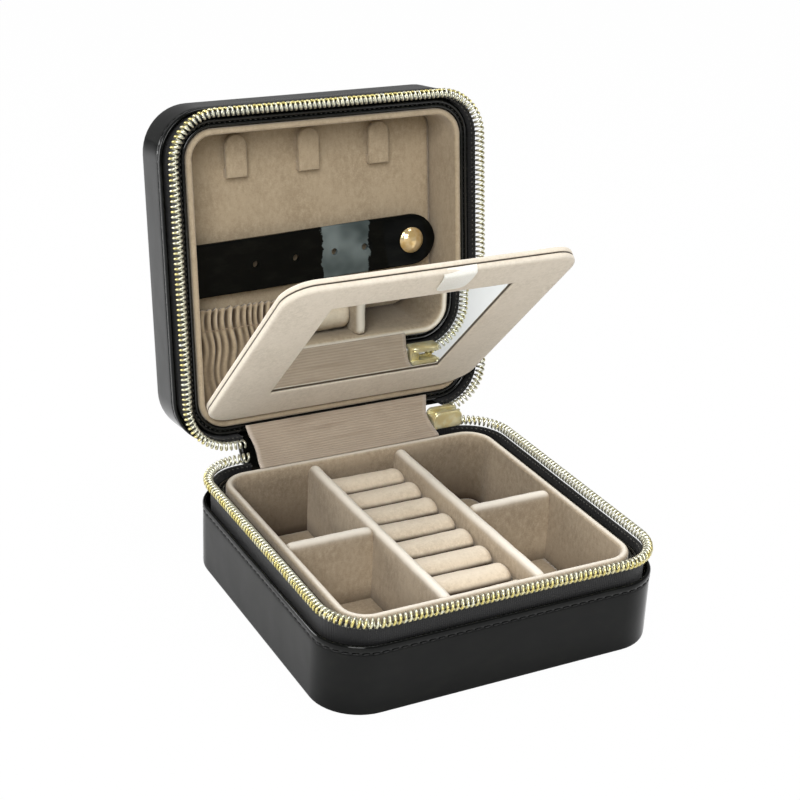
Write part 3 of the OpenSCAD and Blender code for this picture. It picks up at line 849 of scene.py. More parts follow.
# %% Padded panels
def rounded_half(y, half, r):
    """Half the width of a rounded square at this height."""
    over = abs(y) - (half - r)
    return half if over <= 0 else half - r + math.sqrt(max(r * r - over * over, 0.0))


def padded_panel(name, half, r, under, height, place, n=72):
    """A panel whose upper side is height(x, y); its edge follows the rounded square."""
    points = []
    for j in range(n + 1):
        y = half * math.sin(math.pi / 2 * (2 * j / n - 1))
        wide = rounded_half(y, half, r)
        for i in range(n + 1):
            x = wide * (2 * i / n - 1)
            points.append((x, y, height(x, y)))
    points += [(x, y, under) for x, y, _ in points]
    return make_mesh(name, points, sheet_faces(n, n), place)


def pressed(distance, depth, width):
    return depth * math.exp(-max(distance, 0.0) / width)


FLOOR_HALF, BACK_HALF = 42.15, 42.6      # half the floor pad and half the lid's back pad
DIVIDER_X, DIVIDER_T = 14.5, 3.0         # long dividers' place and thickness


def floor_height(x, y):
    low = pressed(abs(abs(x) - DIVIDER_X) - DIVIDER_T / 2, 0.55, 1.3)
    if abs(x) > DIVIDER_X:
        low = max(low, pressed(abs(y) - DIVIDER_T / 2, 0.55, 1.3))
    rim = min(FLOOR_HALF - abs(x), FLOOR_HALF - abs(y))
    return 2.95 - max(low, pressed(rim, 0.6, 1.4))


floor_pad = padded_panel("base_floor_velvet", FLOOR_HALF, 6.15, BOARD, floor_height, BASE)
dress(floor_pad, velvet_tray, "base", ["base_floor_pad"])


def back_height(x, y):
    rim = min(BACK_HALF - abs(x), BACK_HALF - abs(y))
    swell = 0.12 * math.cos(x / BACK_HALF * 1.5) * math.cos(y / BACK_HALF * 1.5)
    return LID_FLOOR + 2.8 + swell - pressed(rim, 0.5, 0.9)


back_pad = padded_panel("lid_back_velvet", BACK_HALF, 6.6, LID_FLOOR + BOARD, back_height, LID)
dress(back_pad, velvet_lid, "lid", ["lid_back_pad"])
print("pads:", len(floor_pad.data.polygons) + len(back_pad.data.polygons), "faces")


# %% Dividers
def divider(name, half_length, along_y, middle, floor, top, thick, stands_for):
    """A sleeve with a round top, dipping to both ends, drawn along its own length."""
    n, m, r = 44, 10, thick / 2
    points, crest = [], []
    for i in range(n + 1):
        t = half_length * math.sin(math.pi / 2 * (2 * i / n - 1))
        left = half_length - abs(t)
        dip = r * 0.9 * shoulder(left, 2.2)
        slack = 0.06 * math.sin(t * 0.33) + 0.04 * math.sin(t * 0.81 + 1)
        ring = [(-r, floor), (-r - 0.05, floor + 6), (-r - 0.03, top - r - 5), (-r, top - r - 1)]
        # painted shade: dark at the foot and near both ends, where the divider meets a wall; the round top is
        # painted pale, as turned pile and painted highlight
        end = -0.7 * math.exp(-left / 0.5)
        marks = [-0.6, 0, 0, end + 0.1]
        for k in range(m + 1):
            a = math.pi * (1 - k / m)
            ring.append((r * math.cos(a), top - r - dip + r * math.sin(a)))
            marks.append(0.3 + 0.6 * math.sin(a) + end * 1.4)
        ring += [(r, top - r - 1), (r + 0.03, top - r - 5), (r + 0.05, floor + 6), (r, floor)]
        marks += [end + 0.1, 0, 0, -0.6]
        for (c, z), mark in zip(ring, marks):
            c += slack * (z - floor) / (top - floor)
            dx, dy = (c, t) if along_y else (t, c)
            points.append((middle[0] + dx, middle[1] + dy, z))
            crest.append(mark)
    piece = make_mesh(name, points, tube_faces(n + 1, len(ring)), BASE, marks=crest)
    dress(piece, velvet_tray, "base", [stands_for], crease=70)
    return piece


for side, word in ((-1, "left"), (1, "right")):
    for kind, half_length, x in (("long", 42.17, DIVIDER_X), ("cross", 13.08, 29.1)):
        divider(f"{kind}_velvet_divider_{word}", half_length, kind == "long", (side * x, 0), 2.4, 24.8,
                DIVIDER_T, f"{kind}_divider_{word}")
print("four dividers, 3 mm thick")

# %% [markdown]
# ## Ring rolls
# Each roll is a strip of foam folded over in velvet. Rings are pushed into the slits between them.
# Foam that is squeezed side by side swells into round backs with soft ends, and cloth simulation
# gives just that: a slightly thin roll is blown up with pressure while its foot is held, and no
# point may move more than a set amount. It is run at twenty times the size, because the solver's
# defaults suit cushions and not a roll 10 mm thick.

# %% A roll before it swells
ROLL_PITCH, ROLL_TOP, ROLL_HALF = 10.55, 20.9, 12.85


def roll_blank(middle_y, droop):
    """Rounded at both ends, with an upright body and a round back."""
    n, m, r = 26, 14, 5.0
    points = []
    for i in range(n + 1):
        x = ROLL_HALF * math.sin(math.pi / 2 * (2 * i / n - 1))
        fall = shoulder(ROLL_HALF - abs(x), 2.6)
        wide, top = r - 0.55 * fall, ROLL_TOP - 0.15 - 1.7 * fall - droop * (x / ROLL_HALF)
        ring = [(-wide, 2.7), (-wide, 7.0), (-wide, 11.5)]
        for k in range(m + 1):
            a = math.pi * (1 - k / m)
            ring.append((wide * math.cos(a), top - r + r * math.sin(a)))
        ring += [(wide, 11.5), (wide, 7.0), (wide, 2.7), (0, 2.7)]
        points += [(x, middle_y + y, z) for y, z in ring]
    return points, tube_faces(n + 1, len(ring))


# %% Swell a blank with cloth pressure
def swell(name, points, faces, held_below, most):
    """Blows the blank up at twenty times its size; no point moves further than `most` mm."""
    big = make_mesh(name + "_blank", [tuple(20 * v for v in p) for p in points], faces)
    start = np.array([v.co[:] for v in big.data.vertices])
    hold = big.vertex_groups.new(name="held")
    hold.add([i for i, p in enumerate(points) if p[2] < held_below], 1.0, "REPLACE")
    cloth = big.modifiers.new("cloth", "CLOTH")
    cloth.settings.quality = 6
    cloth.settings.mass = 0.3
    cloth.settings.tension_stiffness = 12
    cloth.settings.compression_stiffness = 12
    cloth.settings.bending_stiffness = 0.6
    cloth.settings.use_pressure = True
    cloth.settings.uniform_pressure_force = 4.0
    cloth.settings.vertex_group_mass = "held"
    cloth.settings.effector_weights.gravity = 0.0
    cloth.point_cache.frame_end = 20
    for step in range(1, 21):
        scene.frame_set(step)
    live = big.evaluated_get(bpy.context.evaluated_depsgraph_get())
    after = np.array([v.co[:] for v in live.data.vertices])
    scene.frame_set(1)
    bpy.data.objects.remove(big)
    move = (after - start) / 20 / MM
    far = np.linalg.norm(move, axis=1, keepdims=True)
    move *= np.minimum(1.0, most / np.maximum(far, 1e-9))
    return [tuple(v) for v in np.array(points) + move], float(far.max())


# %% Eight rolls
def ring_roll(number):
    y = 42.2 - (number - 0.5) * ROLL_PITCH
    droop = 0.18 * math.sin(number * 2.1)
    points, faces = roll_blank(y, droop)
    far = 0.0
    points, far = swell(f"roll_{number}", points, faces, 4.0, 0.42)
    points = [(clamp(px, -12.98, 12.98), clamp(py, y - 5.24, y + 5.24), max(pz, 2.4)) for px, py, pz in points]
    # painted highlight on the round back above 18.6 mm, and painted shade darkening the slits between rolls
    # below 18.75 mm
    crest = [0.5 * max(0.0, (z - 18.6) / 2.3) - 0.95 * clamp((18.75 - z) / 1.1) for _, _, z in points]
    piece = make_mesh(f"ring_roll_velvet_{number}", points, faces, marks=crest)
    smooth = piece.modifiers.new("smooth", "SUBSURF")
    smooth.levels = smooth.render_levels = 1
    dress(piece, velvet_roll, "base", [f"ring_roll_{number}"])
    return far


moved = [ring_roll(i) for i in range(1, 9)]
print("rolls swelled by up to", round(max(moved), 2), "mm before the cap")

# %% [markdown]
# ## Hinge lining and spine
# No metal hinge joins the halves. Outside, a strip of leather runs across the back; inside, a strip
# of grosgrain ribbon covers it. Both are sheets drawn along a bent curve from the base to the open
# lid, and neither is hung on a body. The ribbon's cut sides pull in where it is not held, so their line waves.


# %% A point of the open lid, from v above the hinge edge and w under the leather's edge
def lid_place(v, w):
    p = LID @ Vector((0, HALF - v, EDGE - w))
    return p.y, p.z


def bent_path(start, bow, end, n):
    """A smooth curve in the side view from start to end, pulled towards bow."""
    path = []
    for i in range(n + 1):
        t = i / n
        path.append(tuple((1 - t) ** 2 * start[k] + 2 * t * (1 - t) * bow[k] + t * t * end[k] for k in (0, 1)))
    return path


def bending_sheet(name, path, side, thick, finish, stands_for, flat_path=None):
    """side(t) gives (left, right); the sheet is thickened on its upper side by `thick`."""
    n, wide = len(path) - 1, 40
    far, reach = 0.0, [0.0]
    for i in range(1, n + 1):
        far += math.dist(path[i], path[i - 1])
        reach.append(far)
    points, marks = [], []
    for layer in (0, 1):
        for j, (y, z) in enumerate(path):
            a, b = path[max(j - 1, 0)], path[min(j + 1, n)]
            d = math.dist(a, b)
            ny, nz = (a[1] - b[1]) / d, (b[0] - a[0]) / d
            left, right = side(j / n)
            for i in range(wide + 1):
                x = left + (right - left) * i / wide
                ease = min(i, wide - i) / wide
                lift = thick if layer else 0.0
                wave = 0.10 * math.sin(x * 0.23 + 1.3) * math.sin(math.pi * j / n)
                up = lift + wave + 0.14 * math.exp(-ease * 60) * layer
                points.append((x, y + ny * up, z + nz * up))
                marks.append(1.0 if i in (0, wide) else 0.0)
    row, top = wide + 1, (n + 1) * (wide + 1)

    faces = sheet_faces(n, wide)
    corners = [tuple((points[k % top][0], reach[k % top // row]) for k in face) for face in faces]
    piece = make_mesh(name, points, faces, WORLD, corners, marks)
    piece.data.materials.append(finish)
    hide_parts(stands_for)
    start, end = path[0], path[-1]
    start[0] * MM
    start[1] * MM
    end[0] * MM
    end[1] * MM
    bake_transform(piece)
    return piece, far


# %% Lining
start, end = (43.2, 26.9), lid_place(5.1, -4.2)
bow = ((start[0] + end[0]) / 2 + 1.6, (start[1] + end[1]) / 2 - 1.8)
path = bent_path(start, bow, end, 24)
ribbon, far = bending_sheet("hinge_ribbon", path,
                            lambda t: (-31.1 + 0.9 * math.sin(math.pi * t) ** 2 + 0.3 * t,
                                       29.0 - 0.5 * math.sin(math.pi * t) ** 2 + 1.5 * max(0.0, t - 0.6) / 0.4),
                            0.5, lining, "hinge_lining")
print("ribbon across the hinge:", round(far, 1), "mm long")

# %% Spine
start, end = (49.7, 21.4), lid_place(0.3, 0.5)
bow = ((start[0] + end[0]) / 2 + 2.6, (start[1] + end[1]) / 2 - 2.6)
path = bent_path(start, bow, end, 16)
spine, far = bending_sheet("spine_leather", path, lambda t: (-32.0, 29.0), 0.8, leather_lip,
                           "spine_cover")
print("spine:", round(far, 1), "mm long")

# %% [markdown]
# ## Slider and pull
# The slider waits at the end of the zip, beside the hinge, so it is seen from its inner side: a
# bright plate with rounded shoulders. Its outer plate carries a bar, and the pull hangs behind the
# case. Flat metal parts are cut from outlines and given a small rounded edge, as stamped parts have.


# %% Cut a flat part with rounded edges
def rounded_shape(points, radii, steps=6):
    """Rounds the corners of a polygon; points run anticlockwise."""
    out, n = [], len(points)
    for i, (p, r) in enumerate(zip(points, radii)):
        p, a, b = Vector(p), Vector(points[i - 1]), Vector(points[(i + 1) % n])
        if r <= 0:
            out.append(tuple(p))
            continue
        u, v = (a - p).normalized(), (b - p).normalized()
        half = math.acos(max(-1, min(1, u.dot(v)))) / 2
        reach = r / math.tan(half)
        centre = p + (u + v).normalized() * (r / math.sin(half))
        first, last = p + u * reach - centre, p + v * reach - centre
        a0 = math.atan2(first.y, first.x)
        da = (math.atan2(last.y, last.x) - a0 + math.pi) % (2 * math.pi) - math.pi
        out += [(centre.x + r * math.cos(a0 + da * k / steps), centre.y + r * math.sin(a0 + da * k / steps))
                for k in range(steps + 1)]
    return out


def inward(shape, by):
    """The outline drawn in by a small distance."""
    n, out = len(shape), []
    for i in range(n):
        a, p, b = Vector(shape[i - 1]), Vector(shape[i]), Vector(shape[(i + 1) % n])
        u, v = (p - a).normalized(), (b - p).normalized()
        m = (Vector((-u.y, u.x)) + Vector((-v.y, v.x)))
        m = m / max(m.dot(Vector((-u.y, u.x))), 0.35)
        out.append((p.x + m.x * by, p.y + m.y * by))
    return out


def slab(name, shape, low, high, edge, place, crown=0.0, low_edge=None, steps=4):
    """A flat part between two heights with rounded edges and a slightly crowned upper face."""
    low_edge = edge if low_edge is None else low_edge
    rings = []
    for k in range(steps + 1):
        a = math.pi / 2 * (1 - k / steps)
        rings.append((low_edge * (1 - math.cos(a)), low + low_edge * (1 - math.sin(a))))
    for k in range(steps + 1):
        a = math.pi / 2 * k / steps
        rings.append((edge * (1 - math.cos(a)), high - edge * (1 - math.sin(a))))
    points = [(x, y, z) for by, z in rings for x, y in (inward(shape, by) if by else shape)]
    n, count = len(shape), len(rings)
    if crown:
        cx, cy = sum(p[0] for p in shape) / n, sum(p[1] for p in shape) / n
        rim = points[-n:]
        for share in (0.8, 0.55, 0.25):
            points += [(cx + (x - cx) * share, cy + (y - cy) * share, high + crown * (1 - share ** 2))
                       for x, y, _ in rim]
            count += 1
    return make_mesh(name, points, tube_faces(count, n), place)


# %% Slider
X0, ZM, BAR_Y = 34.3, ZIP_MIDDLE + RAISED, 54.1


def join(name, parts):
    """Joins part meshes that all sit at the origin into one piece."""
    work = bmesh.new()
    for part in parts:
        work.from_mesh(part.data)
    mesh = bpy.data.meshes.new(name)
    work.to_mesh(mesh)
    work.free()
    for part in parts:
        bpy.data.objects.remove(part)
    mesh.shade_smooth()
    piece = bpy.data.objects.new(name, mesh)
    scene.collection.objects.link(piece)
    return piece


def upright(y, facing=-1):
    """Draws (x, height) outlines on the slider, thickness towards the inside or the outside."""
    return shift(X0, y, ZM) @ (turn(90) if facing < 0 else turn(90) @ Matrix.Scale(-1, 4, (0, 0, 1)))


plate = [(-5, -2.7), (5, -2.7), (5, 2.7), (-5, 2.7)]
shield = rounded_shape(plate, [0.9, 0.9, 2.2, 2.2])
back_shield = rounded_shape(plate, [1.6, 2.2, 2.2, 1.6])
parts = [slab("inner_plate", shield, 0.0, 1.0, 0.32, upright(47.85), crown=0.12, low_edge=0.1),
         slab("outer_plate", back_shield, 0.0, 1.0, 0.32, upright(51.5, 1), crown=0.12, low_edge=0.1)]
core = rounded_shape([(-5, -1.35), (-1.67, -1.0), (-1.67, 1.0), (-5, 1.35)], [0.5, 0.6, 0.6, 0.5], 4)
parts.append(slab("slider_core", core, 0.0, 3.75, 0.05, upright(51.55), low_edge=0.05))
flange = rounded_shape([(-4.4, -0.35), (4.6, -0.35), (4.6, 0.35), (-4.4, 0.35)], [0.3] * 4, 4)
for y, facing in ((47.8, 1), (51.55, -1)):
    for z in (-2.3, 2.3):
        outline = [(x, s + z) for x, s in flange]
        parts.append(slab("flange", outline, 0.0, 0.62, 0.2, upright(y, facing), low_edge=0.05))


def rod(name, start, end, r, sides=16):
    """A round bar along x, with softened ends."""
    rings = [(start, r * 0.7), (start + 0.15, r), (end - 0.15, r), (end, r * 0.7)]
    points = [(x, y, z) for x, q in rings for y, z in circle(q, sides)]
    return make_mesh(name, points, tube_faces(len(rings), sides), shift(X0, BAR_Y, ZM))


parts.append(rod("pull_bar", -3.5, 3.5, 0.55))
post = rounded_shape([(52.45, -0.55), (54.5, -0.55), (54.5, 0.55), (52.45, 0.55)], [0, 0.5, 0.5, 0], 5)
for x in (-3.5, 2.6):
    side_on = shift(X0 + x, 0, ZM) @ Matrix(((0, 0, 1, 0), (1, 0, 0, 0), (0, 1, 0, 0), (0, 0, 0, 1)))
    parts.append(slab("bar_post", post, 0.0, 0.9, 0.15, side_on))
slider = join("slider_gold", parts)
dress(slider, gold, "base", ["zip_slider"], crease=35)
print("slider:", len(slider.data.polygons), "faces")

# %% Pull with a rolled eye
blade = rounded_shape([(-2.1, -13), (2.1, -13), (2.5, -10.2), (2.1, -4.5), (2.3, -0.9), (-2.3, -0.9),
                       (-2.1, -4.5), (-2.5, -10.2)], [1.9, 1.9, 3, 3, 0.4, 0.4, 3, 3])
parts = [slab("blade", blade, -0.5, 0.5, 0.3, shift(X0, BAR_Y, ZM) @ turn(90), crown=0.1)]
sides = 28
section = [(0.68, -2.5), (0.68, 2.5), (1.02, 2.5), (1.2, 2.3), (1.2, -2.3), (1.02, -2.5)]
points = [(x, q * math.cos(2 * math.pi * k / sides), q * math.sin(2 * math.pi * k / sides))
          for k in range(sides) for q, x in section]
faces = tube_faces(sides, len(section), loop=True)
parts.append(make_mesh("eye", points, faces, shift(X0, BAR_Y, ZM)))
pull = join("pull_gold", parts)
dress(pull, gold, "pull", ["zip_pull"], crease=35)
print("pull:", len(pull.data.polygons), "faces")

# %% [markdown]
# ## Lid fittings
# The lid's coordinates here are right, up from the hinge edge (v) and height over the lid's own
# panel. Three velvet tabs stand on a foot so that a chain can be hooked behind them. They are flat
# parts with a soft edge, like the slider's plates, but with a bigger radius and a padded face.


# %% Hook tabs
def round_end(width, length, steps=14):
    """An outline with a square foot and a half-round top, anticlockwise."""
    r = width / 2
    return [(-r, 0), (r, 0)] + arc(0, length - r, r, 0, 180, steps)


TAB_PITCH = 23.6
for number in (1, 2, 3):
    x = (number - 2) * TAB_PITCH
    at = LID @ shift(x, HALF - 77.3, 0) @ Matrix.Scale(-1, 4, (0, 1, 0))
    face = slab("face", round_end(6.8, 13.0), 8.4, 10.0, 0.6, at, crown=0.25, low_edge=0.3)
    foot = slab("foot", [(-3.3, 0.1), (3.3, 0.1), (3.3, 2.6), (-3.3, 2.6)], 6.7, 8.5, 0.1, at)
    tab = join(f"hook_tab_velvet_{number}", [face, foot])
    dress(tab, velvet_lid, "lid", [f"hook_tab_{number}"], crease=60)
print("three hook tabs,", TAB_PITCH, "mm apart")

# %% [markdown]
# ## The gathered pocket
# The pocket is one piece of velvet, half as wide again as the lid, drawn up on an elastic that runs
# in a casing along its mouth. The elastic puckers the casing into a frill, a seam closes the casing
# below, and the folds run down from that seam and fade. Its surface is a sum of waves whose depth
# changes with height: full in the frill, pinched at the seam, full again below it, gone at the foot.

# %% Folds of the pocket
MOUTH, CASING, FOOT = 39.2, 6.4, 7.4
SEAM = MOUTH - CASING
folds = np.random.default_rng(7)
fold_phase = folds.uniform(0, 2 * math.pi, 6)


def gather(x, sharp):
    """Uneven folds about 2.1 mm apart, between -1 and 1."""
    drift = 1.3 * math.sin(x * 0.21 + fold_phase[0]) + 0.8 * math.sin(x * 0.53 + fold_phase[1])
    wave = math.sin(x * 2 * math.pi / 2.15 + drift)
    slow = math.sin(x * 2 * math.pi / 5.3 + fold_phase[2] + drift * 0.5)
    return math.copysign(abs(wave) ** sharp, wave) * (0.72 + 0.28 * slow)


def fold_depth(v, x):
    if v >= SEAM:
        t = (v - SEAM) / CASING
        return 0.2 + 0.85 * math.sin(math.pi * min(1.0, t * 0.9 + 0.05)) ** 0.7
    t = (SEAM - v) / (11 + 5 * math.sin(x * 0.37 + fold_phase[3]))
    return 0.2 + 0.85 * math.exp(-t * 1.8) * math.sin(math.pi * min(1.0, t * 3 + 0.02) / 2)


def pocket_height(x, v):
    lean = 0.10 * math.sin(x * 0.13 + 0.6)
    wide_fold = 0.35 * math.sin(x * 2 * math.pi / 9.5 + fold_phase[4])
    wide_fold *= clamp((SEAM - v) / 6) * max(0.0, v / SEAM)
    middle = 0.25 * math.sin(math.pi * clamp((v - FOOT) / (SEAM - FOOT)))
    return 13.75 + lean + middle + wide_fold + fold_depth(v, x) * gather(x + 0.5 * math.sin(v * 0.4), 0.8)


# %% The pocket's cloth
def pocket_sheet(name, v_low, v_high, rows, thick, stands_for, bead):
    wide, bend, points, marks = 300, 6.6, [], []
    for layer in (0, 1):
        for j in range(rows + 1):
            v = v_low + (v_high - v_low) * j / rows
            over = clamp(FOOT + bend - v, 0.0, bend)
            half = 42.5 - bend + math.sqrt(bend ** 2 - over ** 2)
            for i in range(wide + 1):
                x = half * (2 * i / wide - 1)
                z = pocket_height(x, v)
                turned = bead * math.exp(-((v_high - v) / 0.7) ** 2)
                depth = fold_depth(v, x) * gather(x + 0.5 * math.sin(v * 0.4), 0.8)
                ruffle = 0.5 * gather(x, 1.0) * max(0.0, (v - MOUTH + 1.6) / 1.6) if bead else 0.0
                points.append((x, HALF - v - ruffle, z - (thick + turned if layer else -turned * 0.3)))
                # painted light and shade of the folds: raised folds and the turned mouth are painted paler,
                # hollows darker, and the whole pocket somewhat darker as painted shade
                marks.append(clamp(depth * 0.9 + turned * 0.4 - 0.42, -0.9, 0.4))
    piece = make_mesh(name, points, sheet_faces(rows, wide), LID, marks=marks)
    return dress(piece, velvet_lid, "lid", [stands_for])


front = pocket_sheet("pocket_velvet", FOOT, SEAM, 60, 0.7, "pocket_front", 0.0)
frill = pocket_sheet("pocket_frill_velvet", SEAM, MOUTH, 18, 0.8, "pocket_frill", 0.45)
rows = []
for i in range(240):
    x = -42.3 + 84.6 * i / 239
    rows.append(((x, HALF - SEAM, pocket_height(x, SEAM) + 0.08), (0, 0, 1), (0, 1, 0)))
seam_thread = Finish("thread_velvet", Specular_IOR_Level=0.3)
twist = seam_thread.noise(0.4, 2.0)
seam_thread.feed("Base Color", seam_thread.blend(rgb(120, 102, 82), rgb(158, 140, 118), twist))
seam_thread.feed("Roughness", 0.7 + twist * 0.2)
seam_thread = seam_thread.material
host = guide("pocket_seam_stitches_guide", rows, LID)
sew(host, seam_thread, "lid", "velvet", Pitch=0.0019, Length=0.0014, Width=0.0004, Slant=0.0)
print("pocket gathered to 85 mm from 128 mm of velvet")

# %% [markdown]
# ## The earring strap
# A stiff strip of patent leather is sewn down at its left end and snaps shut at the right. Earring
# posts go through four pierced holes, which push the lacquer up into a small rim. The strip is a
# fine grid bent by a gentle wave, so the reflections break as they do on the real strap, and the
# holes are cut through it with a boolean.

# %% Strap with pierced holes
STRAP_W, STRAP_LEN, STRAP_FRONT = 16.2, 83.7, 11.4
HOLES = [22.3, 35.7, 48.8, 59.3]
SNAP = 75.4


def strap_lift(x, y):
    """How far the strap's front stands over its plane."""
    lift = 0.28 * math.sin(x * 0.105 - 0.9) + 0.10 * math.sin(x * 0.31 + 0.5 * y * 0.2)
    lift -= 0.16 * (y / 8.1) ** 2
    for hole in HOLES:
        d = math.hypot(x - hole, y)
        lift += 0.22 * math.exp(-((d - 1.45) / 0.42) ** 2)
    d = math.hypot(x - SNAP, y)
    return lift - 0.25 * math.exp(-(d / 6.0) ** 2)


def strap_half(x):
    end = STRAP_LEN - STRAP_W / 2
    return STRAP_W / 2 if x <= end else math.sqrt(max((STRAP_W / 2) ** 2 - (x - end) ** 2, 0.0))


n, m, tip, points = 150, 30, 12, []
xs = [STRAP_LEN * i / n for i in range(n - tip)]  # even steps, then closer and closer at the round tip
xs += [STRAP_LEN * (n - tip) / n + STRAP_LEN * tip / n * math.sin(math.pi / 2 * i / tip)
       for i in range(tip + 1)]
for x in xs:
    half = max(strap_half(x), 0.25)
    ring = []
    for k in range(m + 1):
        s = math.sin(math.pi / 2 * (2 * k / m - 1))
        y = half * s
        ease = 0.45 * shoulder(half - abs(y), 0.6)
        ring.append((x, y, STRAP_FRONT - 0.1 + strap_lift(x, y) - ease))
    for k in range(m, -1, -1):
        s = math.sin(math.pi / 2 * (2 * k / m - 1))
        y = half * s
        ring.append((x, y, STRAP_FRONT - 1.4 + strap_lift(x, y) * 0.6))
    points += ring
strap = make_mesh("earring_strap_leather", points, tube_faces(n + 1, 2 * (m + 1)), STRAP)
points, faces = [], []
for hole in HOLES:
    first = len(points)
    for z in (STRAP_FRONT - 3, STRAP_FRONT + 2):
        points += [(hole + x, y, z) for x, y in circle(1.05, 24)]
    faces += [tuple(first + k for k in face) for face in tube_faces(2, 24)]
awl = make_mesh("awl", points, faces, STRAP)
cut = strap.modifiers.new("holes", "BOOLEAN")
cut.operation, cut.solver, cut.object = "DIFFERENCE", "EXACT", awl
bpy.context.view_layer.update()
mesh = bpy.data.meshes.new_from_object(strap.evaluated_get(bpy.context.evaluated_depsgraph_get()))
strap.modifiers.clear()
strap.data = mesh
bpy.data.objects.remove(awl)
dress(strap, leather_strap, "strap", ["earring_strap"], crease=38)
anchor_shape = rounded_shape([(-0.3, -7.0), (3.5, -7.0), (3.5, 7.0), (-0.3, 7.0)], [0.3] * 4, 3)
anchor = slab("strap_anchor_leather", anchor_shape, 6.7, 9.5, 0.3, STRAP, low_edge=0.0)
dress(anchor, leather_lip, "lid", ["strap_anchor"], crease=50)
print("strap with", len(HOLES), "holes:", len(strap.data.polygons), "faces")


# %% Snap: domed cap, socket and stud
def spun(name, section, centre, place, sides=72):
    """Turns (radius, height) places about the strap's normal; both ends lie on the axis."""
    points = [(centre[0], centre[1], section[0][1])]
    for r, z in section[1:-1]:
        points += [(centre[0] + x, centre[1] + y, z) for x, y in circle(r, sides)]
    points.append((centre[0], centre[1], section[-1][1]))
    last, top = len(points) - 1, (len(section) - 3) * sides
    faces = [tuple(1 + k for k in face) for face in tube_faces(len(section) - 2, sides)[:-2]]
    for k in range(sides):
        faces += [(0, 1 + (k + 1) % sides, 1 + k), (last, top + 1 + k, top + 1 + (k + 1) % sides)]
    return make_mesh(name, points, faces, place)


z = STRAP_FRONT
dome = [(0, z + 2.1), (0.7, z + 2.07), (1.5, z + 1.93), (2.3, z + 1.66), (3.0, z + 1.25), (3.5, z + 0.82),
        (3.8, z + 0.52), (4.0, z + 0.42), (4.1, z + 0.25), (4.06, z + 0.05), (3.9, z - 0.05), (0, z - 0.05)]
cap = spun("snap_cap_gold", dome, (SNAP, 0), STRAP)
dress(cap, gold_dome, "strap", ["snap_cap"])
b = STRAP_FRONT - 1.5
ring = [(0, b), (3.2, b), (3.4, b - 0.2), (3.4, b - 1.5), (3.2, b - 1.7), (2.2, b - 1.7), (2.0, b - 1.5),
        (2.0, b - 0.4), (0, b - 0.4)]
socket = spun("snap_socket_gold", ring, (SNAP, 0), STRAP)
dress(socket, gold, "strap", ["snap_socket"], crease=35)
f = 6.8
stud = [(0, f + 2.0), (1.3, f + 2.0), (1.68, f + 1.7), (1.5, f + 1.1), (1.7, f + 1.0), (3.1, f + 0.95),
        (3.4, f + 0.7), (3.4, f), (0, f)]
stud = spun("snap_stud_gold", stud, (SNAP, 0), STRAP)
dress(stud, gold, "lid", ["snap_stud"], crease=35)
print("snap: cap 8.2 mm across")

# %% [markdown]
# ## The mirror flap
# The flap is two velvet-covered boards, glued back to back: the front one frames the mirror, the
# back one closes it. Their edges are soft, so a groove runs round where they meet, and painted shade
# darkens it into a dark line. The front is drawn as rings of points from the outer edge to the
# mirror's opening, with the pile turned over both edges; painted shade darkens the opening's inner wall.

# %% The flap's two boards
FLAP_LEN, FLAP_HALF = 88.1, 44.5
MIRROR_W, MIRROR_H, SILL = 55.6, 56.8, 17.7


def flap_edge(inset, count=16):
    """The flap's outline, drawn in by inset: `count` points on each corner and each side."""
    high_r, low_r = max(8.5 - inset, 0.4), max(10.0 - inset, 0.4)
    x, y0, y1 = FLAP_HALF - inset, -FLAP_LEN + inset, -inset
    corners = [(x - low_r, y1 - low_r, 0), (-x + low_r, y1 - low_r, 90),
               (-x + high_r, y0 + high_r, 180), (x - high_r, y0 + high_r, 270)]
    out = []
    for q, (cx, cy, first) in enumerate(corners):
        r, next_r = (low_r, low_r, high_r, high_r)[q], (low_r, high_r, high_r, low_r)[q]
        turned = arc(cx, cy, r, first, first + 90, count)
        nx, ny, nfirst = corners[(q + 1) % 4]
        goal = (nx + next_r * math.cos(math.radians(nfirst)), ny + next_r * math.sin(math.radians(nfirst)))
        out += turned
        a = turned[-1]
        out += [(a[0] + (goal[0] - a[0]) * k / count, a[1] + (goal[1] - a[1]) * k / count)
                for k in range(1, count)]
    return out


def opening_edge(grow_by, count=16):
    """The mirror opening with sharp corners, its points matched to the flap's outline."""
    x, y1, y0 = MIRROR_W / 2 + grow_by, -SILL + grow_by, -SILL - MIRROR_H - grow_by
    corners = [(x, y1), (-x, y1), (-x, y0), (x, y0)]
    out = []
    for q, c in enumerate(corners):
        before, after = corners[q - 1], corners[(q + 1) % 4]
        for k in range(count + 1):
            t = (k / count - 0.5) * 0.16
            other = before if t < 0 else after
            out.append((c[0] + (other[0] - c[0]) * abs(t), c[1] + (other[1] - c[1]) * abs(t)))
        a, b = out[-1], (after[0] + (c[0] - after[0]) * 0.08, after[1] + (c[1] - after[1]) * 0.08)
        out += [(a[0] + (b[0] - a[0]) * k / count, a[1] + (b[1] - a[1]) * k / count) for k in range(1, count)]
    return out


def ringed(name, rings, place, marks=None, closed=False):
    """Joins rings of equal count; a closed set joins its last ring to its first."""
    points = [p for ring in rings for p in ring]
    crest = None if marks is None else [mark for mark, ring in zip(marks, rings) for _ in ring]
    return make_mesh(name, points, tube_faces(len(rings), len(rings[0]), closed), place, marks=crest)


def level(edge, z):
    return [(x, y, z) for x, y in edge]


front = -3.6
